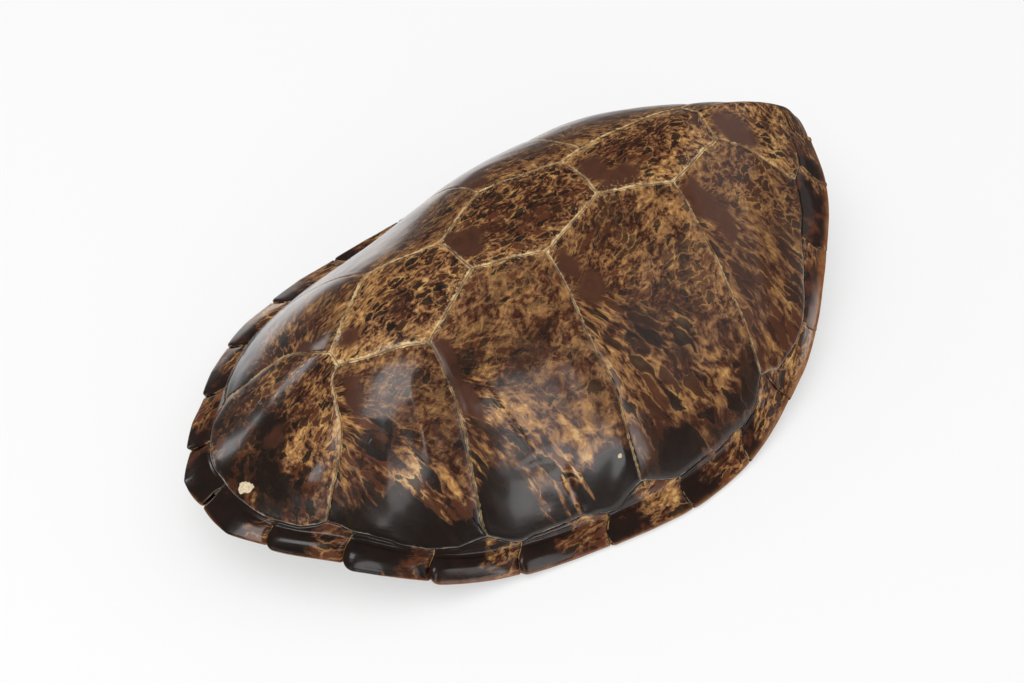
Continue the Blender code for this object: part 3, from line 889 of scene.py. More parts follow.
@dataclass
class RimScute:
    """A scute that folds round the rim from one station to another. Its first end is the rear one."""

    name: str
    start: float
    end: float
    seed: float
    shape: RimShape
    warmth: float = 0.4
    free_tail: bool = True  # whether another scute lies behind it
    tuck: float = 6.0  # how far its front end runs on under the lobe of the scute ahead
    tuck_drop: float = 2.6  # how far down that is, reached over this stretch past its end
    tuck_sets_in: Plan = (-0.2, 1.6)
    follow: float = 0.0  # 1 if what stands out follows the underside's slope, 0 if it is level
    columns: int = 44
    rows: int = 56
    tooth_taper: float = 1.2
    corner_depth: float = 0.8  # of its radius: how far in the rear corner is rounded
    bulge_runs: Plan = (5.0, 9.0)  # how far from its rear and front ends the bulge builds up
    edge_radius: float = 3.2
    edge_turns: Sequence[float] = (70, 35, 0, -40, -80)  # degrees up from level, round the edge
    edge_top: Plan = (0.94, 0.34)  # where the face meets the edge: up and out from its middle, in radii
    wrap: float = 27.0
    wrap_shares: Sequence[float] = (0.4, 0.7, 1.0)
    free_slope: float = 0.45
    least_band: float = 22.0
    groove: float = 0.6  # how far the gutter lies under the form
    flush_from: Plan = (6.5, 8.5)  # stations over which the gutter's groove fades out towards the head
    flush_seam: float = 0.8  # where the gutter then lies between the edge and the seam
    flush_rise: float = 1.2
    band_shares: Sequence[float] = (0.12, 0.32, 0.55, 0.8)  # of the way from the gutter to the edge
    lobe: float = 3.0  # how far its ends bow towards the tail
    lobe_span: Plan = (0.04, 0.44)  # share of the section where the bow starts, and how much of it bows
    tail_run: float = 30.0  # how far from the tail notch the bow builds up
    section: float = 75.0  # how long the section is, about, when its rows are spread
    inner_lift: float = 0.6  # of its thickness: how far the inner face stays over the table
    waves: Sequence[Place] = ((0.35, 22.0, 0.0), (0.5, 45.0, 3.0))  # height, width and seed
    streak_source: Plan = (-60.0, 0.0)  # along from its rear end and down from its edge
    true_at: float = 90.0  # how far from there streaks are drawn to scale
    parting: float = 0.08  # half the share of its length over which plain horn gives way to mottled
    glow_under: float = 2.6  # how far round the edge the painted glow reaches
    raggedness: Sequence[Place] = ((0.16, 16.0, 1.0), (0.1, 6.0, 2.0))

    def controls(self, stations: Array, share: Array) -> Array:
        """Control points of the section at each station, from the costal seam round the edge to underneath.

        Args:
            stations: station numbers, from the rear end to the front.
            share: how far along the scute each of them is.

        Returns:
            The points, as (stations, controls, 3).
        """
        edge, gutter = FORM.edge(stations), FORM.gutter(stations)
        ahead = edge_step(stations)
        inwards = unit(np.stack([-ahead[:, 1], ahead[:, 0], np.zeros(len(ahead))], axis=1))
        up = np.array([0.0, 0.0, 1.0])
        length = abs(self.end - self.start) * np.linalg.norm(ahead, axis=1).mean() / (2 * STATION_STEP)
        from_rear, from_front = share * length, (1 - share) * length
        shape = self.shape
        stand = shape.tooth * (1 - share) ** self.tooth_taper
        rounding = np.clip(1 - from_rear / shape.corner, 0, 1)
        stand = stand - shape.corner * self.corner_depth * (1 - np.sqrt(1 - rounding**2))
        stand = stand + np.interp(share, (0, 0.5, 1), shape.trim)
        rear_run, front_run = self.bulge_runs
        swell = shape.bulge * (1 - np.exp(-from_rear / rear_run)) * (1 - np.exp(-from_front / front_run))
        band = np.maximum(((gutter - edge) * inwards).sum(axis=1), self.least_band)
        slope = np.maximum(0.0, (gutter[:, 2] - edge[:, 2]) / band - self.free_slope)
        hub = edge + inwards * self.edge_radius
        seam, _ = FORM.on_dome(SEAMS.rim_line(stations))
        top = hub + up * self.edge_radius * self.edge_top[0] - inwards * self.edge_radius * self.edge_top[1]
        flush = eased(np.minimum(stations, ALL - stations), *self.flush_from)[:, None]
        flat = seam * self.flush_seam + top * (1 - self.flush_seam) + up * self.flush_rise
        gutter = gutter + (flat - gutter) * flush
        gutter_sunk = gutter - up * self.groove * (1 - flush)
        controls = [(seam, 0.0), ((seam + gutter_sunk) / 2, 0.0), (gutter_sunk, 0.0)]
        across = top - gutter
        band_up = unit(np.cross(np.cross(across, up), across))
        for part in self.band_shares:
            rise = (swell * np.sin(np.pi * part**0.8))[:, None] * band_up
            controls.append((gutter + across * part + rise, part))
        for angle in self.edge_turns:
            turn = math.radians(angle)
            round_it = up * math.sin(turn) - inwards * math.cos(turn)
            controls.append((hub + round_it * self.edge_radius, 1.0))
        low = edge - up * self.edge_radius
        for reach in self.wrap_shares:
            under = low + inwards * (self.wrap * reach) + up * (slope * self.wrap * reach)[:, None]
            controls.append((under, 1 - reach))
        outwards = -inwards - up * (slope * self.follow)[:, None]
        return np.stack([place + outwards * (stand * weight)[:, None] for place, weight in controls], axis=1)

    def build(self) -> Piece:
        """Makes the scute.

        Returns:
            The scute's object.
        """
        length = float(np.linalg.norm(FORM.edge(self.end) - FORM.edge(self.start)))
        reach = length + self.tuck
        run = spread(self.columns + 1, reach, LIPS)
        share = np.minimum(run / length, 1.0)
        inset = HALF_GAP / length
        stations = self.start + (self.end - self.start) * (inset + run / length * (1 - 2 * inset))
        parts = spread(self.rows + 1, self.section, LIPS) / self.section
        base = along_path(self.controls(stations, share), parts)
        back = unit(-edge_step(stations)) * math.copysign(1, self.end - self.start)
        bow_start, bow_span = self.lobe_span
        lobe = self.lobe * np.sin(np.pi * np.clip((parts - bow_start) / bow_span, 0, 1))
        ends = np.ones(share.shape) if self.free_tail else eased(share * length, 0, self.tail_run)
        base += back[:, None] * lobe[:, None] * ends[:, None, None]
        base[..., 2] = np.maximum(base[..., 2], 0.0)
        normal = outward_normals(base)
        down = np.linalg.norm(np.gradient(base, axis=1), axis=2).cumsum(axis=1)
        down -= down[:, :1]
        from_ends = np.minimum(run, reach - run)[:, None]
        from_seam = np.minimum(np.broadcast_to(from_ends, down.shape), down)
        lift = lip(from_seam) + eased(from_seam, *INLAND_RIM) * ripples(base, self.waves, self.seed)
        base -= normal * (self.tuck_drop * eased(run - length, *self.tuck_sets_in))[:, None, None]
        outer = base + normal * (lift - SUNK)[..., None]
        outer[..., 2] = np.maximum(outer[..., 2], 0.0)
        inner = base - normal * SCUTE_THICKNESS
        inner[..., 2] = np.maximum(inner[..., 2], SCUTE_THICKNESS * self.inner_lift)
        bm = bmesh.new()
        bmesh.ops.create_grid(bm, x_segments=self.columns, y_segments=self.rows, size=1.0)
        made = bmesh.ops.extrude_face_region(bm, geom=list(bm.faces))
        fresh = [item for item in made["geom"] if isinstance(item, bmesh.types.BMVert)]
        bmesh.ops.translate(bm, verts=fresh, vec=(0, 0, -1))
        bmesh.ops.recalc_face_normals(bm, faces=bm.faces)
        column, row = grid_numbers(bm, self.columns, self.rows)
        under = vertex_places(bm)[:, 2] < -0.5
        points = np.where(under[:, None], inner[column, row], outer[column, row])
        skin = self._skin(base, down, from_seam, share, length)
        carried = (skin.flow, skin.side_flow, skin.growth, skin.accent)
        return piece_from(self.name, bm, points, Skin(*(values[column, row] for values in carried)))

    def _skin(
        self, base: Array, down: Array, from_seam: Array, share: Array, length: float
    ) -> Skin:
        """The growth directions and tones of the scute.

        Args:
            base: the grid's places.
            down: distances from the costal seam, along the section.
            from_seam: distances from the nearest seam.
            share: how far along the scute each column is.
            length: the scute's length.

        Returns:
            What the grid's points carry.
        """
        stations = self.start + (self.end - self.start) * share
        edge = FORM.edge(stations)
        at_edge = np.argmin(np.linalg.norm(base - edge[:, None], axis=2), axis=1)
        edge_down = np.take_along_axis(down, at_edge[:, None], axis=1)
        along = np.broadcast_to(share[:, None] * length, down.shape)
        places = np.stack([along, down - edge_down], axis=-1)
        flow = flow_from(self.streak_source, places, self.true_at)
        ragged = along / length + ripples(base, self.raggedness, self.seed)
        plain = 1 - eased(ragged, self.shape.plain - self.parting, self.shape.plain + self.parting)
        # The painted glow: an orange band along the edge that stands in for light shining through the thin
        # horn.
        width = self.shape.glow
        from_middle = down - edge_down + width * 0.9 - self.glow_under
        glow = np.exp(-((from_middle / width) ** 2))
        zero = np.zeros(down.shape)
        return Skin(
            np.concatenate([flow, (zero + self.seed)[..., None]], axis=-1),
            np.concatenate([flow, zero[..., None]], axis=-1),
            np.stack([from_seam, along, zero + self.shape.shade], axis=-1),
            np.stack([plain, zero + self.warmth, glow], axis=-1),
        )


# ---- Bone ----


@dataclass
class BonyCarapace:
    """The bone under the scutes: a dome, a thick rim that they fold round, and a ribbed hollow."""

    name: str = "bony_carapace"
    depth: float = 3.0  # under the form
    thickness: float = 6.0
    rib_stations: Sequence[float] = (2.333, 3.333, 4.333, 5.333, 6.333, 7.333, 8.667, 10.333)
    rib_height: float = 4.0
    rib_width: float = 11.0
    rib_fan: float = 70.0  # millimetres between stations at the rim, about
    backbone_height: float = 13.0
    backbone_width: float = 15.0
    vertebra_length: float = 36.0
    vertebra_swell: float = 0.14
    backbone_ends: Plan = (0.55, 0.85)  # shares of the way to the rim over which the backbone fades out
    rib_start: float = 0.15  # least share of the fan's width that a rib keeps
    rib_roots: Plan = (0.06, 0.2)  # shares of the way to the rim over which ribs rise from the backbone
    dome_end: float = 0.02  # how far short of the rim scutes' seam the dome's rows stop, as a share
    rim_trim: float = 13.0  # how far the rim of bone stays behind the scutes' edge
    rim_follow: float = 1.1
    rim_rows: int = 40
    wall_from: float = 0.9  # share of the way from the midline where the inner wall meets the rim
    least_height: float = 0.2
    weld: float = 0.02
    columns_per_station: int = 12
    roughness: Place = (0.5, 12.0, 2.0)  # the inner wall's: height and width of waves, and a seed
    smooth_until: float = 0.05  # share of the way to the rim
    dome_rows: int = 12
    wall_rows: int = 44

    def _wall_depth(self, stations: Array, share: float) -> Array:
        """How far under the outer face the inner wall lies at these stations, with its ribs."""
        right = np.minimum(stations, ALL - stations)
        away = np.min(np.abs(right[:, None] - np.array(self.rib_stations)), axis=1)
        spacing = self.rib_fan * max(share, self.rib_start)
        rib = np.exp(-((away * spacing / self.rib_width) ** 2)) * eased(share, *self.rib_roots)
        return self.depth + self.thickness + rib * self.rib_height

    def _backbone(self, share: float, plan: Array) -> Array:
        """How far the backbone hangs down from the inner wall: it fades out before it reaches the rim."""
        beads = 1 + self.vertebra_swell * np.cos(2 * np.pi * plan[:, 0] / self.vertebra_length)
        across = np.exp(-((plan[:, 1] / self.backbone_width) ** 2))
        return self.backbone_height * across * beads * (1 - eased(share, *self.backbone_ends))

    def build(self) -> Piece:
        """Makes the bone as one closed skin.

        Returns:
            The bone's object.
        """
        columns = ALL * self.columns_per_station
        stations = np.linspace(0, ALL, columns + 1)
        rows = []
        for share in np.linspace(0, SEAMS.gutter_share - SEAMS.peak - self.dome_end, self.dome_rows):
            base, normal = FORM.on_dome(FORM.plan(stations, share))
            rows.append(base - normal * self.depth)
        shape = RimShape(trim=(-self.rim_trim,) * 3, bulge=0.0)
        section = RimScute("rim_bone", 0, ALL, 0.0, shape, follow=self.rim_follow)
        middle = np.full(len(stations), 0.5)
        rim = along_path(section.controls(stations, middle), np.linspace(0, 1, self.rim_rows))
        sunk = rim - outward_normals(rim) * self.depth
        sunk[..., 2] = np.maximum(sunk[..., 2], self.depth + self.least_height)
        rows += [sunk[:, i] for i in range(1, self.rim_rows)]
        for share in np.linspace(self.wall_from, 0, self.wall_rows):
            plan = FORM.plan(stations, share)
            base, normal = FORM.on_dome(plan)
            rough = wandering(base, self.roughness) * eased(share, 0.0, self.smooth_until)
            wall = base - normal * (self._wall_depth(stations, share) + rough)[:, None]
            wall[:, 2] -= self._backbone(share, plan)
            rows.append(wall)
        places = np.stack(rows, axis=1)
        places[-1] = places[0]
        bm = bmesh.new()
        bmesh.ops.create_grid(bm, x_segments=columns, y_segments=len(rows) - 1, size=1.0)
        column, row = grid_numbers(bm, columns, len(rows) - 1)
        for vert, place in zip(bm.verts, places[column, row]):
            vert.co = place
        bmesh.ops.remove_doubles(bm, verts=bm.verts, dist=self.weld)
        bmesh.ops.recalc_face_normals(bm, faces=bm.faces)
        return piece_from(self.name, bm, vertex_places(bm), None)


# ---- Finishes ----

Colour = tuple[float, float, float]
Socket = bpy.types.NodeSocket


@dataclass(frozen=True)
class Value:
    """What a node puts out, with arithmetic that adds Math nodes."""

    graph: "Graph"
    socket: Socket

    def __add__(self, other: object) -> "Value":
        """The sum."""
        return self.graph.math("ADD", self, other)

    def __radd__(self, other: object) -> "Value":
        """The sum, with this value second."""
        return self.graph.math("ADD", other, self)

    def __mul__(self, other: object) -> "Value":
        """The product."""
        return self.graph.math("MULTIPLY", self, other)

    def __sub__(self, other: object) -> "Value":
        """The difference."""
        return self.graph.math("SUBTRACT", self, other)

    def __rsub__(self, other: object) -> "Value":
        """The difference, with this value second."""
        return self.graph.math("SUBTRACT", other, self)

    def __truediv__(self, other: object) -> "Value":
        """The ratio."""
        return self.graph.math("DIVIDE", self, other)


Values = dict[str, Value]


class Graph:
    """Adds and links a tree's nodes. Every input may be a number, a tuple or another node's value."""

    def __init__(self, tree: bpy.types.NodeTree) -> None:
        """Keeps the tree."""
        self.tree = tree

    def node(self, kind: str, **settings: object) -> bpy.types.Node:
        """Adds a node and sets its properties."""
        made = self.tree.nodes.new("ShaderNode" + kind)
        for key, value in settings.items():
            setattr(made, key, value)
        return made

    def put(self, socket: Socket, value: object) -> None:
        """Links a value to a socket, or sets the socket to a number or tuple."""
        if isinstance(value, Value):
            self.tree.links.new(value.socket, socket)
        elif isinstance(value, tuple) and len(value) == 3 and socket.type == "RGBA":
            socket.default_value = (*value, 1.0)
        else:
            socket.default_value = value

    def result(self, node: bpy.types.Node, inputs: dict[str | int, object], output: str | int = 0) -> Value:
        """Fills a node's inputs, by name or number, and gives one of its outputs."""
        for key, value in inputs.items():
            self.put(node.inputs[key], value)
        return Value(self, node.outputs[output])

    def math(self, operation: str, *values: object) -> Value:
        """The result of a Math node."""
        return self.result(self.node("Math", operation=operation), dict(enumerate(values)))

    def vector_math(self, operation: str, *values: object, output: str | int = 0) -> Value:
        """The result of a Vector Math node."""
        made = self.node("VectorMath", operation=operation)
        return self.result(made, dict(enumerate(values)), output)

    def mix(self, share: object, first: object, second: object) -> Value:
        """A colour between two."""
        made = self.node("Mix", data_type="RGBA", blend_type="MIX")
        return self.result(made, {0: share, 6: first, 7: second}, 2)

    def step(self, value: object, low: float, high: float) -> Value:
        """A smooth step from 0 at low to 1 at high."""
        made = self.node("MapRange", interpolation_type="SMOOTHSTEP")
        return self.result(made, {"Value": value, "From Min": low, "From Max": high})

    def fall(self, value: object, low: float, high: float) -> Value:
        """A smooth step from 1 at low to 0 at high."""
        return 1.0 - self.step(value, low, high)

    def ramp(self, value: object, stops: Sequence[tuple[float, Colour]]) -> Value:
        """A colour read from a ramp."""
        made = self.node("ValToRGB")
        steps = made.color_ramp.elements
        while len(steps) < len(stops):
            steps.new(0.5)
        for step, (position, colour) in zip(steps, stops):
            step.position = position
            step.color = (*colour, 1.0)
        return self.result(made, {0: value})

    def stretched(self, vector: Value, scale: Place, shift: Place = (0.0, 0.0, 0.0)) -> Value:
        """A vector scaled along its axes and shifted."""
        return self.result(self.node("Mapping"), {"Vector": vector, "Scale": scale, "Location": shift})

    def noise(
        self,
        vector: Value,
        scale: float,
        detail: float = 2.0,
        rough: float = 0.5,
        warp: float = 0.0,
        output: str = "Fac",
    ) -> Value:
        """A Noise Texture's value, or its colour."""
        made = self.node("TexNoise", noise_dimensions="3D")
        inputs = {"Vector": vector, "Scale": scale, "Detail": detail, "Roughness": rough, "Distortion": warp}
        return self.result(made, inputs, output)

    def sway(
        self, vector: Value, scale: float, amount: float, detail: float = 2.0, rough: float = 0.5
    ) -> Value:
        """Noise about 0, which would span the amount if it went from end to end."""
        return (self.noise(vector, scale, detail, rough) - 0.5) * amount

    def cells(self, vector: Value, scale: float, flat: bool = False) -> tuple[Value, Value]:
        """Irregular cells: the distance from their edges and a random colour for each."""
        found = []
        for feature, output in (("DISTANCE_TO_EDGE", "Distance"), ("F1", "Color")):
            made = self.node("TexVoronoi", feature=feature, voronoi_dimensions="2D" if flat else "3D")
            found.append(self.result(made, {"Vector": vector, "Scale": scale}, output))
        return found[0], found[1]

    def wobbled(self, vector: Value, scale: float, amount: float) -> Value:
        """A vector pushed about by noise of that scale."""
        push = self.vector_math("SUBTRACT", self.noise(vector, scale, output="Color"), (0.5, 0.5, 0.5))
        return self.vector_math("MULTIPLY_ADD", push, (amount, amount, amount), vector)

    def parts(self, vector: Value) -> tuple[Value, ...]:
        """A vector's three numbers."""
        made = self.node("SeparateXYZ")
        self.put(made.inputs[0], vector)
        return tuple(Value(self, socket) for socket in made.outputs)

    def joined(self, *values: object) -> Value:
        """A vector of three numbers."""
        return self.result(self.node("CombineXYZ"), dict(enumerate(values)))

    def carried(self, key: str) -> Value:
        """A vector that the piece's vertices carry."""
        return Value(self, self.node("Attribute", attribute_name=key).outputs["Vector"])

    def place(self) -> Value:
        """Object coordinates, in metres."""
        return Value(self, self.node("TexCoord").outputs["Object"])

    def ray(self, kind: str) -> Value:
        """Whether a ray is of this kind."""
        return Value(self, self.node("LightPath").outputs[f"Is {kind} Ray"])

    def bump(self, height: Value, distance: float, strength: float = 1.0) -> Value:
        """A normal from a height in units of distance."""
        return self.result(self.node("Bump"), {"Height": height, "Distance": distance, "Strength": strength})

    def shader(self, kind: str, inputs: dict[str, object], output: str = "OutputMaterial") -> None:
        """Adds the tree's shader, with its inputs by name, and the output that shows it."""
        self.put(self.node(output).inputs[0], self.result(self.node(kind), inputs))

    def effect(self, group: bpy.types.NodeTree, **values: object) -> Values:
        """Places a node group.

        Args:
            group: the group.
            **values: its inputs, by name in lower case.

        Returns:
            Its outputs, by name in lower case.
        """
        made = self.node("Group")
        made.node_tree = group
        for socket in made.inputs:
            key = socket.name.lower().replace(" ", "_")
            if key in values:
                self.put(socket, values[key])
        return {socket.name.lower(): Value(self, socket) for socket in made.outputs}


def empty_finish(name: str) -> tuple[bpy.types.Material, Graph]:
    """Makes a material without nodes, and the graph that adds them."""
    made = bpy.data.materials.new(name)
    made.use_nodes = True
    made.node_tree.nodes.clear()
    return made, Graph(made.node_tree)


Fill = Callable[[Graph, Values], Values]
SOCKETS = {float: "NodeSocketFloat", tuple: "NodeSocketVector", str: "NodeSocketColor"}


def effect_group(
    name: str, inputs: dict[str, object], outputs: dict[str, type], fill: Fill
) -> bpy.types.NodeTree:
    """Makes a node group that several finishes use.

    Args:
        name: the group's name.
        inputs: its inputs' usual values, by name. A tuple stands for a vector.
        outputs: its outputs' kinds, by name. str stands for a colour.
        fill: adds the nodes, and gives the outputs' values by name.

    Returns:
        The group.
    """
    tree = bpy.data.node_groups.new(name, "ShaderNodeTree")
    for key, value in inputs.items():
        made = tree.interface.new_socket(name=key, in_out="INPUT", socket_type=SOCKETS[type(value)])
        made.default_value = value
    for key, kind in outputs.items():
        tree.interface.new_socket(name=key, in_out="OUTPUT", socket_type=SOCKETS[kind])
    entrance = tree.nodes.new("NodeGroupInput")
    exit_node = tree.nodes.new("NodeGroupOutput")
    graph = Graph(tree)
    given = {socket.name: Value(graph, socket) for socket in entrance.outputs if socket.name}
    for key, value in fill(graph, given).items():
        graph.put(exit_node.inputs[key], value)
    return tree


@dataclass(frozen=True)
class HornTones:
    """The colours of the keratin, from clear to thick with pigment."""

    clear: Colour = (0.165, 0.076, 0.031)
    tan: Colour = (0.295, 0.146, 0.056)
    pale: Colour = (0.56, 0.345, 0.135)
    gold: Colour = (0.43, 0.20, 0.056)
    red_brown: Colour = (0.098, 0.029, 0.012)
    grey_brown: Colour = (0.052, 0.028, 0.016)
    dark_brown: Colour = (0.038, 0.0145, 0.007)
    black: Colour = (0.012, 0.0078, 0.006)
    areola: Colour = (0.092, 0.034, 0.018)
    areola_dark: Colour = (0.050, 0.019, 0.011)
    dust: Colour = (0.50, 0.46, 0.40)
    plain_rim: Colour = (0.022, 0.0095, 0.0065)
    cream: Colour = (0.74, 0.53, 0.27)
    seam: Colour = (0.022, 0.013, 0.008)
    # Painted glow: orange that stands in for light shining through the thin horn at the rim's edge
    glow: Colour = (0.24, 0.070, 0.014)
    tawny: Colour = (0.30, 0.135, 0.048)
    chipped_low: Colour = (0.42, 0.30, 0.16)  # bone in a chip
    chipped_high: Colour = (0.78, 0.66, 0.46)


TONES = HornTones()


@dataclass(frozen=True)
class Streaks:
    """Noise drawn out along the growth: its width and length in millimetres, and where it is read."""

    width: float
    length: float
    detail: float
    rough: float
    shift: float

    def build(self, graph: Graph, flow: Value, grain: float = 1.0) -> Value:
        """Adds the noise, about 0 and coarser by the grain."""
        scale = (1 / (self.width * grain), 1 / (self.length * grain), 1.0)
        scaled = graph.stretched(flow, scale, (self.shift, self.shift, 0.0))
        return graph.noise(scaled, 1.0, self.detail, self.rough) - 0.5


LARGE = Streaks(24.0, 60.0, 2.0, 0.5, 0.0)
MIDDLE = Streaks(5.5, 14.0, 3.0, 0.6, 3.0)
FINE = Streaks(2.1, 5.5, 4.0, 0.66, 7.0)
FLECK = (4.0, 13.0)  # a dark fleck's width and length, in millimetres
GRAINS = {"Flow": 1.0, "Side Flow": 1.9}  # how coarse the pattern is for each direction of growth


class HornEffects:
    """The node groups that the finishes of the keratin share."""

    def __init__(self) -> None:
        """Builds each group once."""
        vector = (0.0, 0.0, 0.0)
        self.mottle = effect_group(
            "pigment_mottle",
            {"Flow": vector, "Side Flow": vector, "Place": vector, "Shade": 0.0, "Size": 1.0},
            {"Tone": float, "Deep": float, "Dark": float, "Hue": float},
            self._fill_mottle,
        )
        self.colour = effect_group(
            "horn_colour",
            {"Tone": 0.5, "Deep": 0.0, "Dark": 0.0, "Hue": 0.5, "Warmth": 0.0, "Place": vector},
            {"Color": str},
            self._fill_colour,
        )
        self.fringe = effect_group(
            "seam_fringe",
            {"Distance": 10.0, "Place": vector, "Width": 1.0},
            {"Pale": float, "Core": float, "Flecks": float, "Thread": float},
            self._fill_fringe,
        )
        self.relief = effect_group(
            "growth_relief",
            {"Flow": vector, "Place": vector, "Distance": 10.0, "Rings": 1.0},
            {"Height": float},
            self._fill_relief,
        )
        self.chip = effect_group(
            "bone_chip",
            {"Place": vector, "Centre": vector, "Radius": 0.006},
            {"Mask": float},
            self._fill_chip,
        )

    @staticmethod
    def _fill_mottle(graph: Graph, given: Values) -> Values:
        """Pigment at several depths, in cells drawn out along the growth."""
        place, shade = given["Place"], given["Shade"]
        seed = graph.parts(given["Flow"])[2]
        weight = graph.parts(given["Side Flow"])[2]
        across = graph.sway(place, 38.0, 9.0)
        along = graph.sway(place, 27.0, 12.0)
        apart = seed * 97.0  # so far apart are two scutes' patterns
        found = []
        for key, grain in GRAINS.items():
            x, y, _ = graph.parts(given[key])
            x = (x + across) / given["Size"] + apart
            y = (y + along) / given["Size"]
            found.append(HornEffects._layers(graph, graph.joined(x, y, 0.0), shade, grain))
        mixed = {}
        for key in found[0]:
            first, second = (layers[key] for layers in found)
            mixed[key] = first * (1.0 - weight) + second * weight
        return mixed

    @staticmethod
    def _layers(graph: Graph, flow: Value, shade: Value, grain: float) -> Values:
        """The pigment layers for one direction of growth.

        Args:
            graph: the group's nodes.
            flow: millimetres across and along the growth.
            shade: how much darker than usual.
            grain: how many times coarser than over the back.

        Returns:
            The layers, by name.
        """
        large = LARGE.build(graph, flow)
        middle = MIDDLE.build(graph, flow, grain)
        fine = FINE.build(graph, flow, grain)
        lean = shade + large * 0.5
        tone = 0.49 + middle * 1.25 + fine * 2.1 + lean * -1.2
        scaled = graph.stretched(flow, (1 / (FLECK[0] * grain), 1 / (FLECK[1] * grain), 1.0))
        edge, colour = graph.cells(graph.wobbled(scaled, 1.4, 0.9), 1.0, flat=True)
        chance, hue, _ = graph.parts(colour)
        present = graph.step(chance + lean * 1.3, 0.5, 0.56)
        depth = edge + fine * 0.7
        flecks = present * graph.step(depth, 0.08, 0.14)
        halo = present * graph.step(depth, -0.06, 0.02)
        night = graph.step(shade + middle * 0.3 + large * 0.3, 0.12, 0.19)
        return {
            "Tone": tone + halo * 0.12,
            "Deep": graph.step(lean, -0.02, 0.2),
            "Dark": graph.math("MAXIMUM", flecks, night),
            "Hue": graph.math("MAXIMUM", hue, night),
        }

    @staticmethod
    def _fill_colour(graph: Graph, given: Values) -> Values:
        """Keratin's colour with those layers of pigment in it."""
        place = given["Place"]
        stops = [
            (0.06, TONES.black),
            (0.28, TONES.dark_brown),
            (0.42, TONES.red_brown),
            (0.52, TONES.clear),
            (0.66, TONES.tan),
            (0.82, TONES.gold),
            (0.94, TONES.pale),
        ]
        colour = graph.ramp(given["Tone"] + graph.sway(place, 32.0, 0.7, 3.0, 0.6), stops)
        cloudy = graph.noise(place, 55.0) + given["Warmth"]
        soft = graph.ramp(cloudy, [(0.4, TONES.grey_brown), (0.75, TONES.red_brown)])
        colour = graph.mix(given["Deep"] * 0.55, colour, soft)
        cold = given["Hue"] + (given["Warmth"] - 0.2) * -0.3
        fleck = graph.ramp(cold, [(0.15, TONES.red_brown), (0.4, TONES.dark_brown), (0.75, TONES.black)])
        return {"Color": graph.mix(given["Dark"] * 0.93, colour, fleck)}

    @staticmethod
    def _fill_fringe(graph: Graph, given: Values) -> Values:
        """The pale horn beside a seam, the dark line in it, and the flecks and threads around it."""
        place, distance = given["Place"], given["Distance"]

        def uneven(least: float, amount: Value) -> Value:
            """From the least to 1 as the amount goes from 0 to 1."""
            return least + amount * (1 - least)

        near = distance / given["Width"]
        ragged = near + graph.sway(place, 260.0, 4.2, 3.0, 0.6)
        frayed = near + graph.sway(place, 260.0, 0.9, 3.0, 0.6)
        strong = graph.step(graph.noise(place, 60.0, 3.0, 0.6), 0.42, 0.58)
        broken = graph.step(graph.noise(place, 150.0), 0.42, 0.56)
        spots = graph.step(graph.noise(place, 420.0, 2.0, 0.6), 0.58, 0.66)
        return {
            "Pale": graph.fall(ragged, 0.5, 1.3) * uneven(0.3, strong),
            "Core": graph.fall(distance, 0.02, 0.25) * uneven(0.35, broken),
            "Flecks": spots * graph.fall(near, 1.5, 8.0),
            "Thread": graph.fall(frayed, 0.25, 0.65) * uneven(0.35, strong),
        }

    @staticmethod
    def _fill_relief(graph: Graph, given: Values) -> Values:
        """Faint growth rings by the seams and fine streaks along the growth, under the varnish."""
        streaks = graph.noise(graph.stretched(given["Flow"], (0.4, 0.04, 1.0)), 1.0)
        near = graph.fall(given["Distance"], 4.0, 26.0)
        wander = graph.noise(given["Place"], 40.0) * 9.0
        rings = graph.math("SINE", (given["Distance"] + wander) * 2.1)
        ringed = rings * near * given["Rings"] * 0.03
        orange_peel = graph.noise(given["Place"], 190.0)
        return {"Height": ringed + streaks * 0.3 + orange_peel * 0.25}

    @staticmethod
    def _fill_chip(graph: Graph, given: Values) -> Values:
        """A ragged spot where the keratin has broken away."""
        away = graph.vector_math("DISTANCE", given["Place"], given["Centre"], output="Value")
        ragged = graph.sway(given["Place"], 130.0, 2.0, 4.0, 0.6)
        return {"Mask": graph.fall(away / given["Radius"] + ragged, 0.92, 1.05)}


@dataclass(frozen=True)
class Chip:
    """A spot where bone shows, centred in shell millimetres."""

    at: Place
    radius: float


AREOLA_RADIUS = 26.0
# Where the areola's rings lie, in radii, and how dark they are
AREOLA_RINGS = ((0.0, 0.3), (0.18, 0.62), (0.24, 0.1), (0.42, 0.1), (0.5, 0.55), (0.66, 0.35))


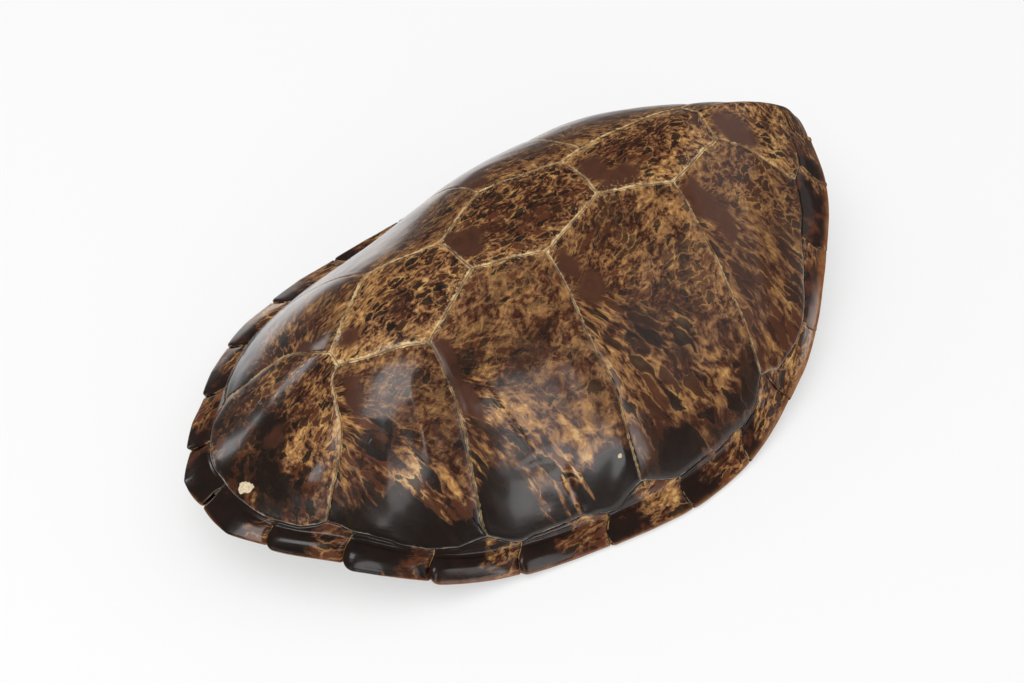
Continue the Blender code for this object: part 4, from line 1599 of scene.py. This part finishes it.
@dataclass(frozen=True)
class HornFinish:
    """Polished keratin: mottled pigment under a varnish."""

    name: str
    size: float = 1.0  # of the flecks
    fringe: float = 1.0
    rings: float = 1.0
    on_rim: bool = False
    chips: Sequence[Chip] = ()
    roughness: float = 0.22
    coat: float = 0.6
    coat_roughness: float = 0.11
    ior: float = 1.45
    relief_height: float = 0.0003
    relief_strength: float = 0.6

    def _calm_colour(self, graph: Graph, place: Value, around: Value, shade: Value) -> Value:
        """The colour of horn without flecks."""
        cloudy = graph.noise(place, 70.0, 4.0, 0.6)
        if self.on_rim:
            stops = [(0.3, TONES.red_brown), (0.45, TONES.plain_rim), (0.75, TONES.black)]
            return graph.ramp(cloudy + shade * 1.5, stops)
        wavy = around + (cloudy - 0.5) * 4.0
        ringed = graph.ramp(wavy / AREOLA_RADIUS, [(at, (dark,) * 3) for at, dark in AREOLA_RINGS])
        tone = ringed * 0.25 + cloudy * 0.5 + shade * 1.2
        return graph.ramp(tone, [(0.2, TONES.areola), (0.62, TONES.areola_dark), (0.95, TONES.black)])

    @staticmethod
    def _on_rim(graph: Graph, colour: Value, given: Values) -> tuple[Value, Value]:
        """The colour with the rim scutes' pale rear ends and the painted glow along their edges, and a mask
        of the pale.
        """
        place, along = given["place"], given["around"]
        rear = graph.fall(along, 0.7, 1.6) * graph.step(along, 0.05, 0.3) * 0.6
        pale = rear * graph.step(graph.noise(place, 110.0), 0.42, 0.55)
        colour = graph.mix(pale, colour, TONES.pale)
        # The painted glow along the edges, which stands in for light shining through the thin horn.
        tawny = graph.ramp(graph.noise(place, 60.0, 3.0, 0.6), [(0.4, TONES.glow), (0.6, TONES.tawny)])
        colour = graph.mix(given["third"] * 0.9, colour, tawny)
        return graph.mix(given["core"] * 0.85, colour, TONES.seam), pale

    @staticmethod
    def _on_plate(graph: Graph, colour: Value, given: Values) -> tuple[Value, Value]:
        """The colour with the big scutes' pale, flecked and dusty seams, and a mask of the pale."""
        third = given["third"]
        pale = given["pale"] * graph.math("MINIMUM", third * 1.15, 1.0)
        flecks = given["flecks"] * graph.step(third, 0.7, 0.95) * 0.4
        colour = graph.mix(flecks, colour, TONES.cream)
        colour = graph.mix(pale, colour, TONES.cream)
        colour = graph.mix(given["core"] * 0.4, colour, TONES.seam)
        thread = given["thread"] * graph.fall(third, 0.1, 0.4) * 0.7
        return graph.mix(thread, colour, TONES.dust), pale

    def build(self, effects: HornEffects) -> bpy.types.Material:
        """Makes the material.

        Args:
            effects: the shared node groups.

        Returns:
            The material.
        """
        made, graph = empty_finish(self.name)
        place = graph.place()
        flow, side_flow = graph.carried("flow"), graph.carried("side_flow")
        distance, around, shade = graph.parts(graph.carried("growth"))
        # third carries how pale a plate's seam is, and on rim scutes the painted glow along the edge
        calm, warmth, third = graph.parts(graph.carried("accent"))
        layers = graph.effect(
            effects.mottle, flow=flow, side_flow=side_flow, place=place, shade=shade, size=self.size
        )
        colour = graph.effect(effects.colour, warmth=warmth, place=place, **layers)["color"]
        colour = graph.mix(calm, colour, self._calm_colour(graph, place, around, shade))
        fringe = graph.effect(effects.fringe, distance=distance, place=place, width=self.fringe)
        seamed = self._on_rim if self.on_rim else self._on_plate
        colour, pale = seamed(graph, colour, {"place": place, "around": around, "third": third, **fringe})
        rough = self.roughness + graph.sway(place, 90.0, 0.12, 3.0)
        coat = self.coat + pale * -0.3
        for chip in self.chips:
            centre = tuple(float(value) for value in FORM.in_frame(np.array(chip.at)))
            mask = graph.effect(effects.chip, place=place, centre=centre, radius=chip.radius * MM)["mask"]
            grain = graph.noise(place, 900.0, 3.0, 0.7)
            bone = graph.ramp(grain, [(0.3, TONES.chipped_low), (0.6, TONES.chipped_high)])
            colour = graph.mix(mask, colour, bone)
            rough = graph.math("MAXIMUM", rough, mask * 0.75)
            coat = coat * (1.0 - mask)
        relief = graph.effect(effects.relief, flow=flow, place=place, distance=distance, rings=self.rings)
        values = {
            "Base Color": colour,
            "Roughness": rough,
            "IOR": self.ior,
            "Coat Weight": coat,
            "Coat Roughness": self.coat_roughness,
            "Coat IOR": self.ior,
            "Normal": graph.bump(relief["height"], self.relief_height, self.relief_strength),
        }
        graph.shader("BsdfPrincipled", values)
        return made


@dataclass(frozen=True)
class BoneFinish:
    """Dry bone: cream and porous, browner where it was handled."""

    name: str = "dry_bone"
    pale: Colour = (0.62, 0.52, 0.36)
    stained: Colour = (0.30, 0.19, 0.09)
    bleached: Colour = (0.72, 0.64, 0.49)
    roughness: float = 0.62
    relief_height: float = 0.0006
    relief_strength: float = 0.7

    def build(self) -> bpy.types.Material:
        """Makes the material."""
        made, graph = empty_finish(self.name)
        place = graph.place()
        clouds = graph.noise(place, 14.0, 4.0, 0.6, 0.6)
        fibres = graph.noise(graph.stretched(place, (60.0, 260.0, 60.0)), 1.0, 3.0, 0.6)
        pores = graph.step(graph.cells(place, 700.0)[0], 0.05, 0.2)
        stops = [(0.35, self.stained), (0.55, self.pale), (0.8, self.bleached)]
        colour = graph.ramp(clouds * 0.8 + fibres * 0.35, stops)
        height = pores * 0.5 + fibres * 0.8
        values = {
            "Base Color": graph.mix((1.0 - pores) * 0.55, colour, self.stained),
            "Roughness": self.roughness + clouds * 0.2,
            "Normal": graph.bump(height, self.relief_height, self.relief_strength),
        }
        graph.shader("BsdfPrincipled", values)
        return made


# ---- The shell ----


VERTEBRALS = (
    PlateLook(
        (562, -20),
        (Patch((580, -24), (30, 20), -30, 1.0),),
        crown=1.6,
        shade=-0.1,
        warmth=0.35,
        patches=(Patch((600, -20), (40, 30), 0, 0.04),),
    ),
    PlateLook(
        (434, -24),
        (Patch((440, -24), (27, 15), 10, 1.0), Patch((426, -4), (15, 22), 0, 1.0)),
        crown=0.6,
        warmth=0.35,
    ),
    PlateLook(
        (284, 8),
        (Patch((288, 2), (23, 20), 0, 1.0), Patch((278, 20), (18, 14), 0, 1.0)),
        crown=0.5,
        shade=0.05,
        warmth=0.35,
    ),
    PlateLook(
        (164, 4),
        (Patch((166, 2), (14, 10), 0, 1.0),),
        crown=0.6,
        shade=-0.06,
        warmth=0.1,
        patches=(Patch((213, -7), (14, 9), 20, 0.12),),
    ),
    PlateLook(
        (82, -20),
        (Patch((76, -4), (12, 9), 0, 1.0),),
        crown=1.0,
        shade=0.05,
        warmth=0.1,
        coarse=1.0,
        blotchy=2.2,
        relief=(Swell((79, -51), 9, 1.6), Swell((37, -16), 8, -1.0), Fold((60, -20), (66, -60), 9, 0.8)),
        patches=(
            Patch((50, 0), (48, 85), 0, 0.12),
            Patch((84, -26), (20, 9), 20, -0.16),
            Patch((112, -38), (14, 16), 0, -0.16),
            Patch((100, -62), (30, 7), 70, -0.14),
        ),
    ),
)

RIGHT_COSTALS = (
    PlateLook(
        (482, -70),
        (Patch((492, -72), (16, 26), 0, 1.0), Patch((505, -96), (12, 22), -10, 1.0)),
        (610, -120),
        skirt=0.05,
        shade=-0.05,
        muted=0.35,
        patches=(
            Patch((501, -151), (30, 40), 0, 0.07),
            Patch((535, -82), (24, 18), 0, -0.06),
            Patch((560, -140), (26, 30), 0, 0.02),
        ),
    ),
    PlateLook(
        (355, -85),
        (Patch((355, -85), (17.5, 17.5), 0, 1.0), Patch((347, -62), (11, 14), 0, 1.0)),
        (480, -165),
        skirt=0.12,
        coarse=0.15,
        muted=0.1,
        relief=(Fold((400, -130), (410, -195), 4.0, -0.4),),
        patches=(
            Patch((368, -198), (26, 30), 0, 0.14),
            Patch((377, -127), (14, 22), -60, 0.12),
            Patch((396, -161), (16, 30), -70, 0.12),
            Patch((357, -152), (12, 30), -80, -0.14),
            Patch((430, -70), (40, 18), 10, -0.06),
        ),
    ),
    PlateLook(
        (218, -75),
        (Patch((218, -64), (9, 22), 0, 1.0), Patch((216, -92), (8, 24), 0, 1.0)),
        (325, -165),
        skirt=0.22,
        coarse=0.5,
        relief=(
            Fold((263, -165), (266, -199), 4.5, -1.3),
            Fold((271, -168), (256, -196), 4.0, 1.1),
            Fold((231, -88), (246, -152), 2.0, -0.35),
            Fold((214, -60), (214, -100), 5.0, 0.8),
            Fold((222, -146), (262, -158), 3.0, -0.5),
            Fold((330, -176), (300, -192), 6.0, 0.8),
        ),
        patches=(
            Patch((195, -161), (30, 40), -70, 0.22),
            Patch((294, -189), (34, 22), 0, 0.2),
            Patch((280, -96), (18, 34), -75, 0.12),
            Patch((250, -114), (10, 40), -78, -0.05),
            Patch((222, -76), (12, 26), -90, 0.16),
            Patch((262, -182), (22, 2.5), -82, -0.4),
            Patch((274, -176), (20, 2.0), -70, -0.35),
            Patch((252, -180), (18, 1.8), -88, -0.3),
            Patch((234, -168), (20, 3.0), -80, -0.22),
            Patch((284, -160), (26, 5.0), -75, -0.16),
        ),
    ),
    PlateLook(
        (144, -21),
        (Patch((146, -24), (9, 9), 0, 1.0), Patch((140, -36), (8, 12), -20, 1.0)),
        (190, -140),
        skirt=0.2,
        shade=0.04,
        coarse=0.5,
        relief=(Fold((182, -60), (166, -104), 5.0, 0.9), Fold((150, -60), (128, -96), 6.0, 0.6)),
        patches=(
            Patch((118, -116), (24, 16), 40, 0.14),
            Patch((145, -106), (9, 14), -60, -0.24),
            Patch((152, -128), (18, 3.0), -70, -0.26),
            Patch((172, -128), (22, 4.0), -80, -0.24),
            Patch((132, -88), (24, 5.0), -60, -0.14),
            Patch((140, -72), (14, 20), -60, 0.14),
        ),
    ),
)


@dataclass
class VertebralRow:
    """The five scutes along the back, from the head to the tail."""

    looks: Sequence[PlateLook] = VERTEBRALS
    behind: float = 150.0  # how far behind the areola the streaks seem to come from
    ahead: float = 110.0  # how far ahead of it they do on the last scute

    def _source(self, number: int) -> Plan:
        """Where a scute's streaks come from."""
        x, y = self.looks[number - 1].areola
        last = number == len(self.looks)
        return (x + self.ahead, 0.0) if last else (x - self.behind, y / 2)

    def build(self) -> list[Piece]:
        """Makes the scutes."""
        made = []
        for number, look in enumerate(self.looks, start=1):
            name = f"vertebral_scute_{number}"
            sources = (self._source(number), self._source(number))
            scute = PlateScute(f"{name}_horn", SEAMS.vertebral(number), look, sources, seed=float(number))
            made.append(placed(scute.build(), name))
        return made


@dataclass
class CostalRow:
    """The four big scutes of one side, from the head to the tail."""

    side: Side
    right_looks: Sequence[PlateLook] = RIGHT_COSTALS
    ahead_from: Plan = (-140.0, 50.0)  # from the areola to where streaks of forward growth seem to start
    outwards_from: Plan = (-50.0, -34.0)
    seed: float = 10.0  # of the row over the midline: the sides' seeds lie to either side of it
    seed_apart: float = 5.0

    def build(self) -> list[Piece]:
        """Makes the scutes."""
        made = []
        outwards = self.side.value
        for number, look in enumerate(self.right_looks, start=1):
            if self.side is Side.LEFT:
                look = look.mirrored()
            x, y = look.areola
            starts = (self.ahead_from, self.outwards_from)
            sources = tuple((x + along, y + away * outwards) for along, away in starts)
            name = f"costal_scute_{self.side.word}_{number}"
            seed = self.seed + self.seed_apart * outwards + number
            scute = PlateScute(f"{name}_horn", SEAMS.costal(self.side, number), look, sources, seed)
            made.append(placed(scute.build(), name))
        return made


RIGHT_RIM = {  # marginal scutes by number: tooth, trim, bulge, plain, shade, corner and painted glow
    1: RimShape(0.0, (1.0, 1.0, 0.5), 0.5, 0.45, -0.02, 1.0, 4.0),
    2: RimShape(0.3, (0.7, 1.2, 1.0), 0.8, 0.85, -0.03, 1.5, 5.0),
    3: RimShape(0.5, (0.0, 0.0, 0.7), 0.8, 0.7, -0.08, 1.5, 8.0),
    4: RimShape(0.5, (0.3, 0.6, 0.0), 0.8, 0.0, -0.06, 1.5, 5.0),
    5: RimShape(0.8, (0.0, 0.3, 0.3), 0.8, 0.3, -0.02, 2.5, 4.0),
    6: RimShape(0.8, (0.0, -0.5, 0.0), 0.8, 0.4, 0.0, 3.0, 3.4),
    7: RimShape(1.5, (0.0, 0.5, 0.0), 1.4, 0.45, 0.02, 5.0, 3.0),
    8: RimShape(1.5, (-2.5, -1.5, 0.0), 3.0, 0.55, 0.04, 8.0, 3.0),
    9: RimShape(3.5, (0.0, -2.0, -3.0), 4.5, 0.7, 0.07, 11.0, 3.0),
    10: RimShape(6.5, (0.0, 0.5, 0.0), 4.0, 0.75, 0.1, 13.0, 2.2),
    11: RimShape(2.5, (0.0, 0.5, 0.0), 3.0, 0.6, 0.1, 7.0, 2.2),
}
LEFT_RIM = RIGHT_RIM | {
    7: RimShape(2.0, (0.0, 0.5, 0.0), 0.6, 0.3, -0.02, 5.0, 3.0),
    8: RimShape(4.0, (0.0, 2.0, 1.0), 1.0, 0.35, -0.02, 7.0, 3.0),
    9: RimShape(3.0, (0.0, 2.5, 1.5), 1.2, 0.3, -0.02, 7.0, 3.0),
    10: RimShape(4.0, (0.0, 2.0, 1.0), 1.2, 0.45, 0.02, 8.0, 2.6),
    11: RimShape(3.0, (1.0, 3.0, 1.0), 1.2, 0.35, 0.02, 6.0, 2.6),
}
MARGINALS = {Side.RIGHT: RIGHT_RIM, Side.LEFT: LEFT_RIM}
SUPRACAUDALS = {
    Side.RIGHT: RimShape(0.0, (-0.5, 4.0, -0.5), 1.5, 0.8, 0.08, 3.0, 2.6),
    Side.LEFT: RimShape(0.0, (-0.5, 5.8, 0.5), 1.5, 0.8, 0.08, 3.0, 2.6),
}
NUCHAL = RimShape(0.0, (0.0, -3.0, 0.0), 1.5, 0.0, 0.02, 7.0, 2.6)


@dataclass
class Rim:
    """The scutes that fold round the edge."""

    marginal_seed: float = 30.0  # of the sides' seeds, as in a costal row
    marginal_seed_apart: float = 15.0
    supracaudal_seed: float = 60.0
    nuchal_seed: float = 71.0

    @staticmethod
    def _one(name: str, side: Side, rear: int, shape: RimShape, seed: float) -> Piece:
        """Makes the scute of a side whose rear end is at this station of the right side."""
        start, end = (SEAMS.of(side).station(rear + i) for i in range(2))
        scute = RimScute(f"{name}_horn", start, end, seed, shape, free_tail=rear > 0)
        return placed(scute.build(), name)

    def build(self) -> list[Piece]:
        """Makes the marginal scutes of both sides, the two over the tail and the nuchal scute."""
        made = []
        for side in Side:
            seed = self.marginal_seed + self.marginal_seed_apart * side.value
            for number, shape in MARGINALS[side].items():
                name = f"marginal_scute_{side.word}_{number}"
                made.append(self._one(name, side, HALF - 1 - number, shape, seed + number))
            name = f"supracaudal_scute_{side.word}"
            made.append(self._one(name, side, 0, SUPRACAUDALS[side], self.supracaudal_seed + side.value))
        nuchal = RimScute("nuchal_scute_horn", HALF - 1, HALF + 1, self.nuchal_seed, NUCHAL, tuck=0.0)
        made.append(placed(nuchal.build(), "nuchal_scute"))
        return made


def placed(piece: Piece, node: str, slot: str = "keratin") -> Piece:
    """Puts a piece in a node's place in the frame.

    Args:
        piece: the piece.
        node: the CAD node that it stands for.
        slot: not used.

    Returns:
        The piece.
    """
    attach(piece, "root")
    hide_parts(node)
    return piece


# ---- Studio ----


def direction(azimuth: float, elevation: float) -> Vector:
    """The direction of a compass angle from +X and a height over the floor, both in degrees."""
    turn, rise = math.radians(azimuth), math.radians(elevation)
    return Vector((math.cos(turn) * math.cos(rise), math.sin(turn) * math.cos(rise), math.sin(rise)))


AIM = (0.0, 0.0, 0.1)  # what the lights face


@dataclass(frozen=True)
class SoftBox:
    """An area light that faces the shell."""

    name: str
    azimuth: float
    elevation: float
    distance: float
    width: float
    height: float
    power: float
    mirrored: bool = True

    def build(self) -> None:
        """Adds the light."""
        data = bpy.data.lights.new(self.name, "AREA")
        data.shape = "RECTANGLE"
        data.size = self.width
        data.size_y = self.height
        data.energy = self.power
        made = bpy.data.objects.new(self.name, data)
        towards = direction(self.azimuth, self.elevation)
        made.location = towards * self.distance + Vector(AIM)
        made.rotation_euler = towards.to_track_quat("Z", "Y").to_euler()
        made.visible_glossy = self.mirrored
        bpy.context.scene.collection.objects.link(made)


@dataclass
class Studio:
    """A white table under soft light, and the camera where the photograph's stood."""

    azimuth: float = -36.76122  # of the camera's right-hand side
    elevation: float = 50.06304
    roll: float = -1.60336
    stand: Place = (-0.55037, -0.70720, 1.09271)
    lens: float = 51.47
    film_width: float = 36.0
    floor_width: float = 12.0
    floor_white: Colour = (0.92, 0.92, 0.92)
    table_end: Plan = (0.3, 0.6)  # past this the floor is dimmer in reflections, as if the table ended
    past_dimming: float = 0.9
    glow_share: float = 0.5  # of the floor's brightness that no shadow dims, as on a backdrop lit from behind
    glow_level: float = 0.97
    room_level: float = 0.66
    room_mirrored: float = 0.61  # how much dimmer the room is in reflections
    room_seen: float = 0.28  # how much brighter the camera sees it
    boxes: Sequence[SoftBox] = (
        SoftBox("side_box", -90, 24, 2.5, 0.5, 0.9, 2.2),
        SoftBox("low_box", -87, 8, 2.5, 0.6, 0.3, 1.7),
        SoftBox("low_rear_box", -124, 29, 2.5, 0.4, 0.4, 1.2),
        SoftBox("head_box", -30, 25, 3.0, 4.5, 1.7, 6.5),
        SoftBox("rear_box", -150, 49, 2.5, 0.8, 0.8, 6),
        SoftBox("far_box", 118, 13, 2.6, 0.4, 0.3, 1.2),
        SoftBox("overhead", 150, 76, 3.0, 3.0, 3.0, 37, mirrored=False),
    )

    def build(self) -> None:
        """Adds the floor, lights, surroundings and camera."""
        self._floor()
        for box in self.boxes:
            box.build()
        self._surroundings()
        self._camera()
        settings = bpy.context.scene.view_settings
        settings.view_transform = "Standard"
        settings.look = "None"
        settings.exposure = 0.0
        settings.gamma = 1.0

    def _floor(self) -> None:
        """Adds the table top."""
        bm = bmesh.new()
        bmesh.ops.create_grid(bm, x_segments=1, y_segments=1, size=self.floor_width / 2)
        mesh = bpy.data.meshes.new("table_top")
        bm.to_mesh(mesh)
        bm.free()
        made = bpy.data.objects.new("table_top", mesh)
        bpy.context.scene.collection.objects.link(made)
        finish = bpy.data.materials.new("white_table")
        finish.use_nodes = True
        shader = finish.node_tree.nodes["Principled BSDF"]
        graph = Graph(finish.node_tree)
        away = graph.vector_math("LENGTH", graph.place(), output="Value")
        mirrored = graph.ray("Glossy") * graph.step(away, *self.table_end) * self.past_dimming
        seen = graph.ray("Camera") * self.glow_share
        black = (0.0, 0.0, 0.0)
        lit = graph.mix(mirrored, self.floor_white, black)
        graph.put(shader.inputs["Base Color"], graph.mix(seen, lit, black))
        graph.put(shader.inputs["Emission Color"], (1.0, 1.0, 1.0))
        graph.put(shader.inputs["Emission Strength"], seen * self.glow_level)
        shader.inputs["Roughness"].default_value = 0.9
        shader.inputs["Specular IOR Level"].default_value = 0.1
        mesh.materials.append(finish)

    def _surroundings(self) -> None:
        """Lights the room: white for what it lights and for the camera, dimmer in reflections."""
        world = bpy.data.worlds.new("studio")
        bpy.context.scene.world = world
        world.use_nodes = True
        world.node_tree.nodes.clear()
        graph = Graph(world.node_tree)
        level = self.room_level - graph.ray("Glossy") * self.room_mirrored
        level = level + graph.ray("Camera") * self.room_seen
        graph.shader("Background", {"Color": (1.0, 1.0, 1.0), "Strength": level}, "OutputWorld")

    def _camera(self) -> None:
        """Adds the camera."""
        data = bpy.data.cameras.new("camera")
        data.lens = self.lens
        data.sensor_width = self.film_width
        data.sensor_fit = "HORIZONTAL"
        back = direction(self.azimuth - 90, self.elevation)
        level = direction(self.azimuth, 0)
        roll = math.radians(self.roll)
        right = level * math.cos(roll) + back.cross(level) * math.sin(roll)
        up = back.cross(right)
        made = bpy.data.objects.new("camera", data)
        turn = Matrix((right, up, back)).transposed().to_4x4()
        made.matrix_world = Matrix.Translation(self.stand) @ turn
        bpy.context.scene.collection.objects.link(made)
        bpy.context.scene.camera = made


# ---- Making it all ----


def dress(pieces: Iterable[Piece], finish: bpy.types.Material) -> None:
    """Gives pieces a finish."""
    for piece in pieces:
        piece.data.materials.append(finish)


def report(title: str, pieces: Sequence[Piece]) -> None:
    """Logs how big the pieces' meshes are."""
    for piece in pieces:
        faces = len(piece.data.polygons)
        LOG.info("%s: %s, %d faces", title, piece.name, faces)


def main() -> None:
    """Builds the shell and the studio."""
    logging.basicConfig(level=logging.INFO, format="%(name)s: %(message)s", force=True)
    effects = HornEffects()
    back = VertebralRow().build()
    sides = [piece for side in Side for piece in CostalRow(side).build()]
    rim = Rim().build()
    bone = [placed(BonyCarapace().build(), "bony_carapace", "bone")]
    chips = (Chip((37, -16, 73), 6.0),)
    dress(back, HornFinish("vertebral_horn", size=0.9, fringe=1.6, chips=chips).build(effects))
    side_chips = (Chip((313, -179, 54), 2.2),)
    dress(sides, HornFinish("costal_horn", fringe=0.9, chips=side_chips).build(effects))
    dress(rim, HornFinish("rim_horn", size=1.5, on_rim=True, rings=0.6).build(effects))
    dress(bone, BoneFinish().build())
    for title, pieces in (("back", back), ("sides", sides), ("rim", rim), ("bone", bone)):
        report(title, pieces)
    Studio().build()


if __name__ == "__main__":
    main()
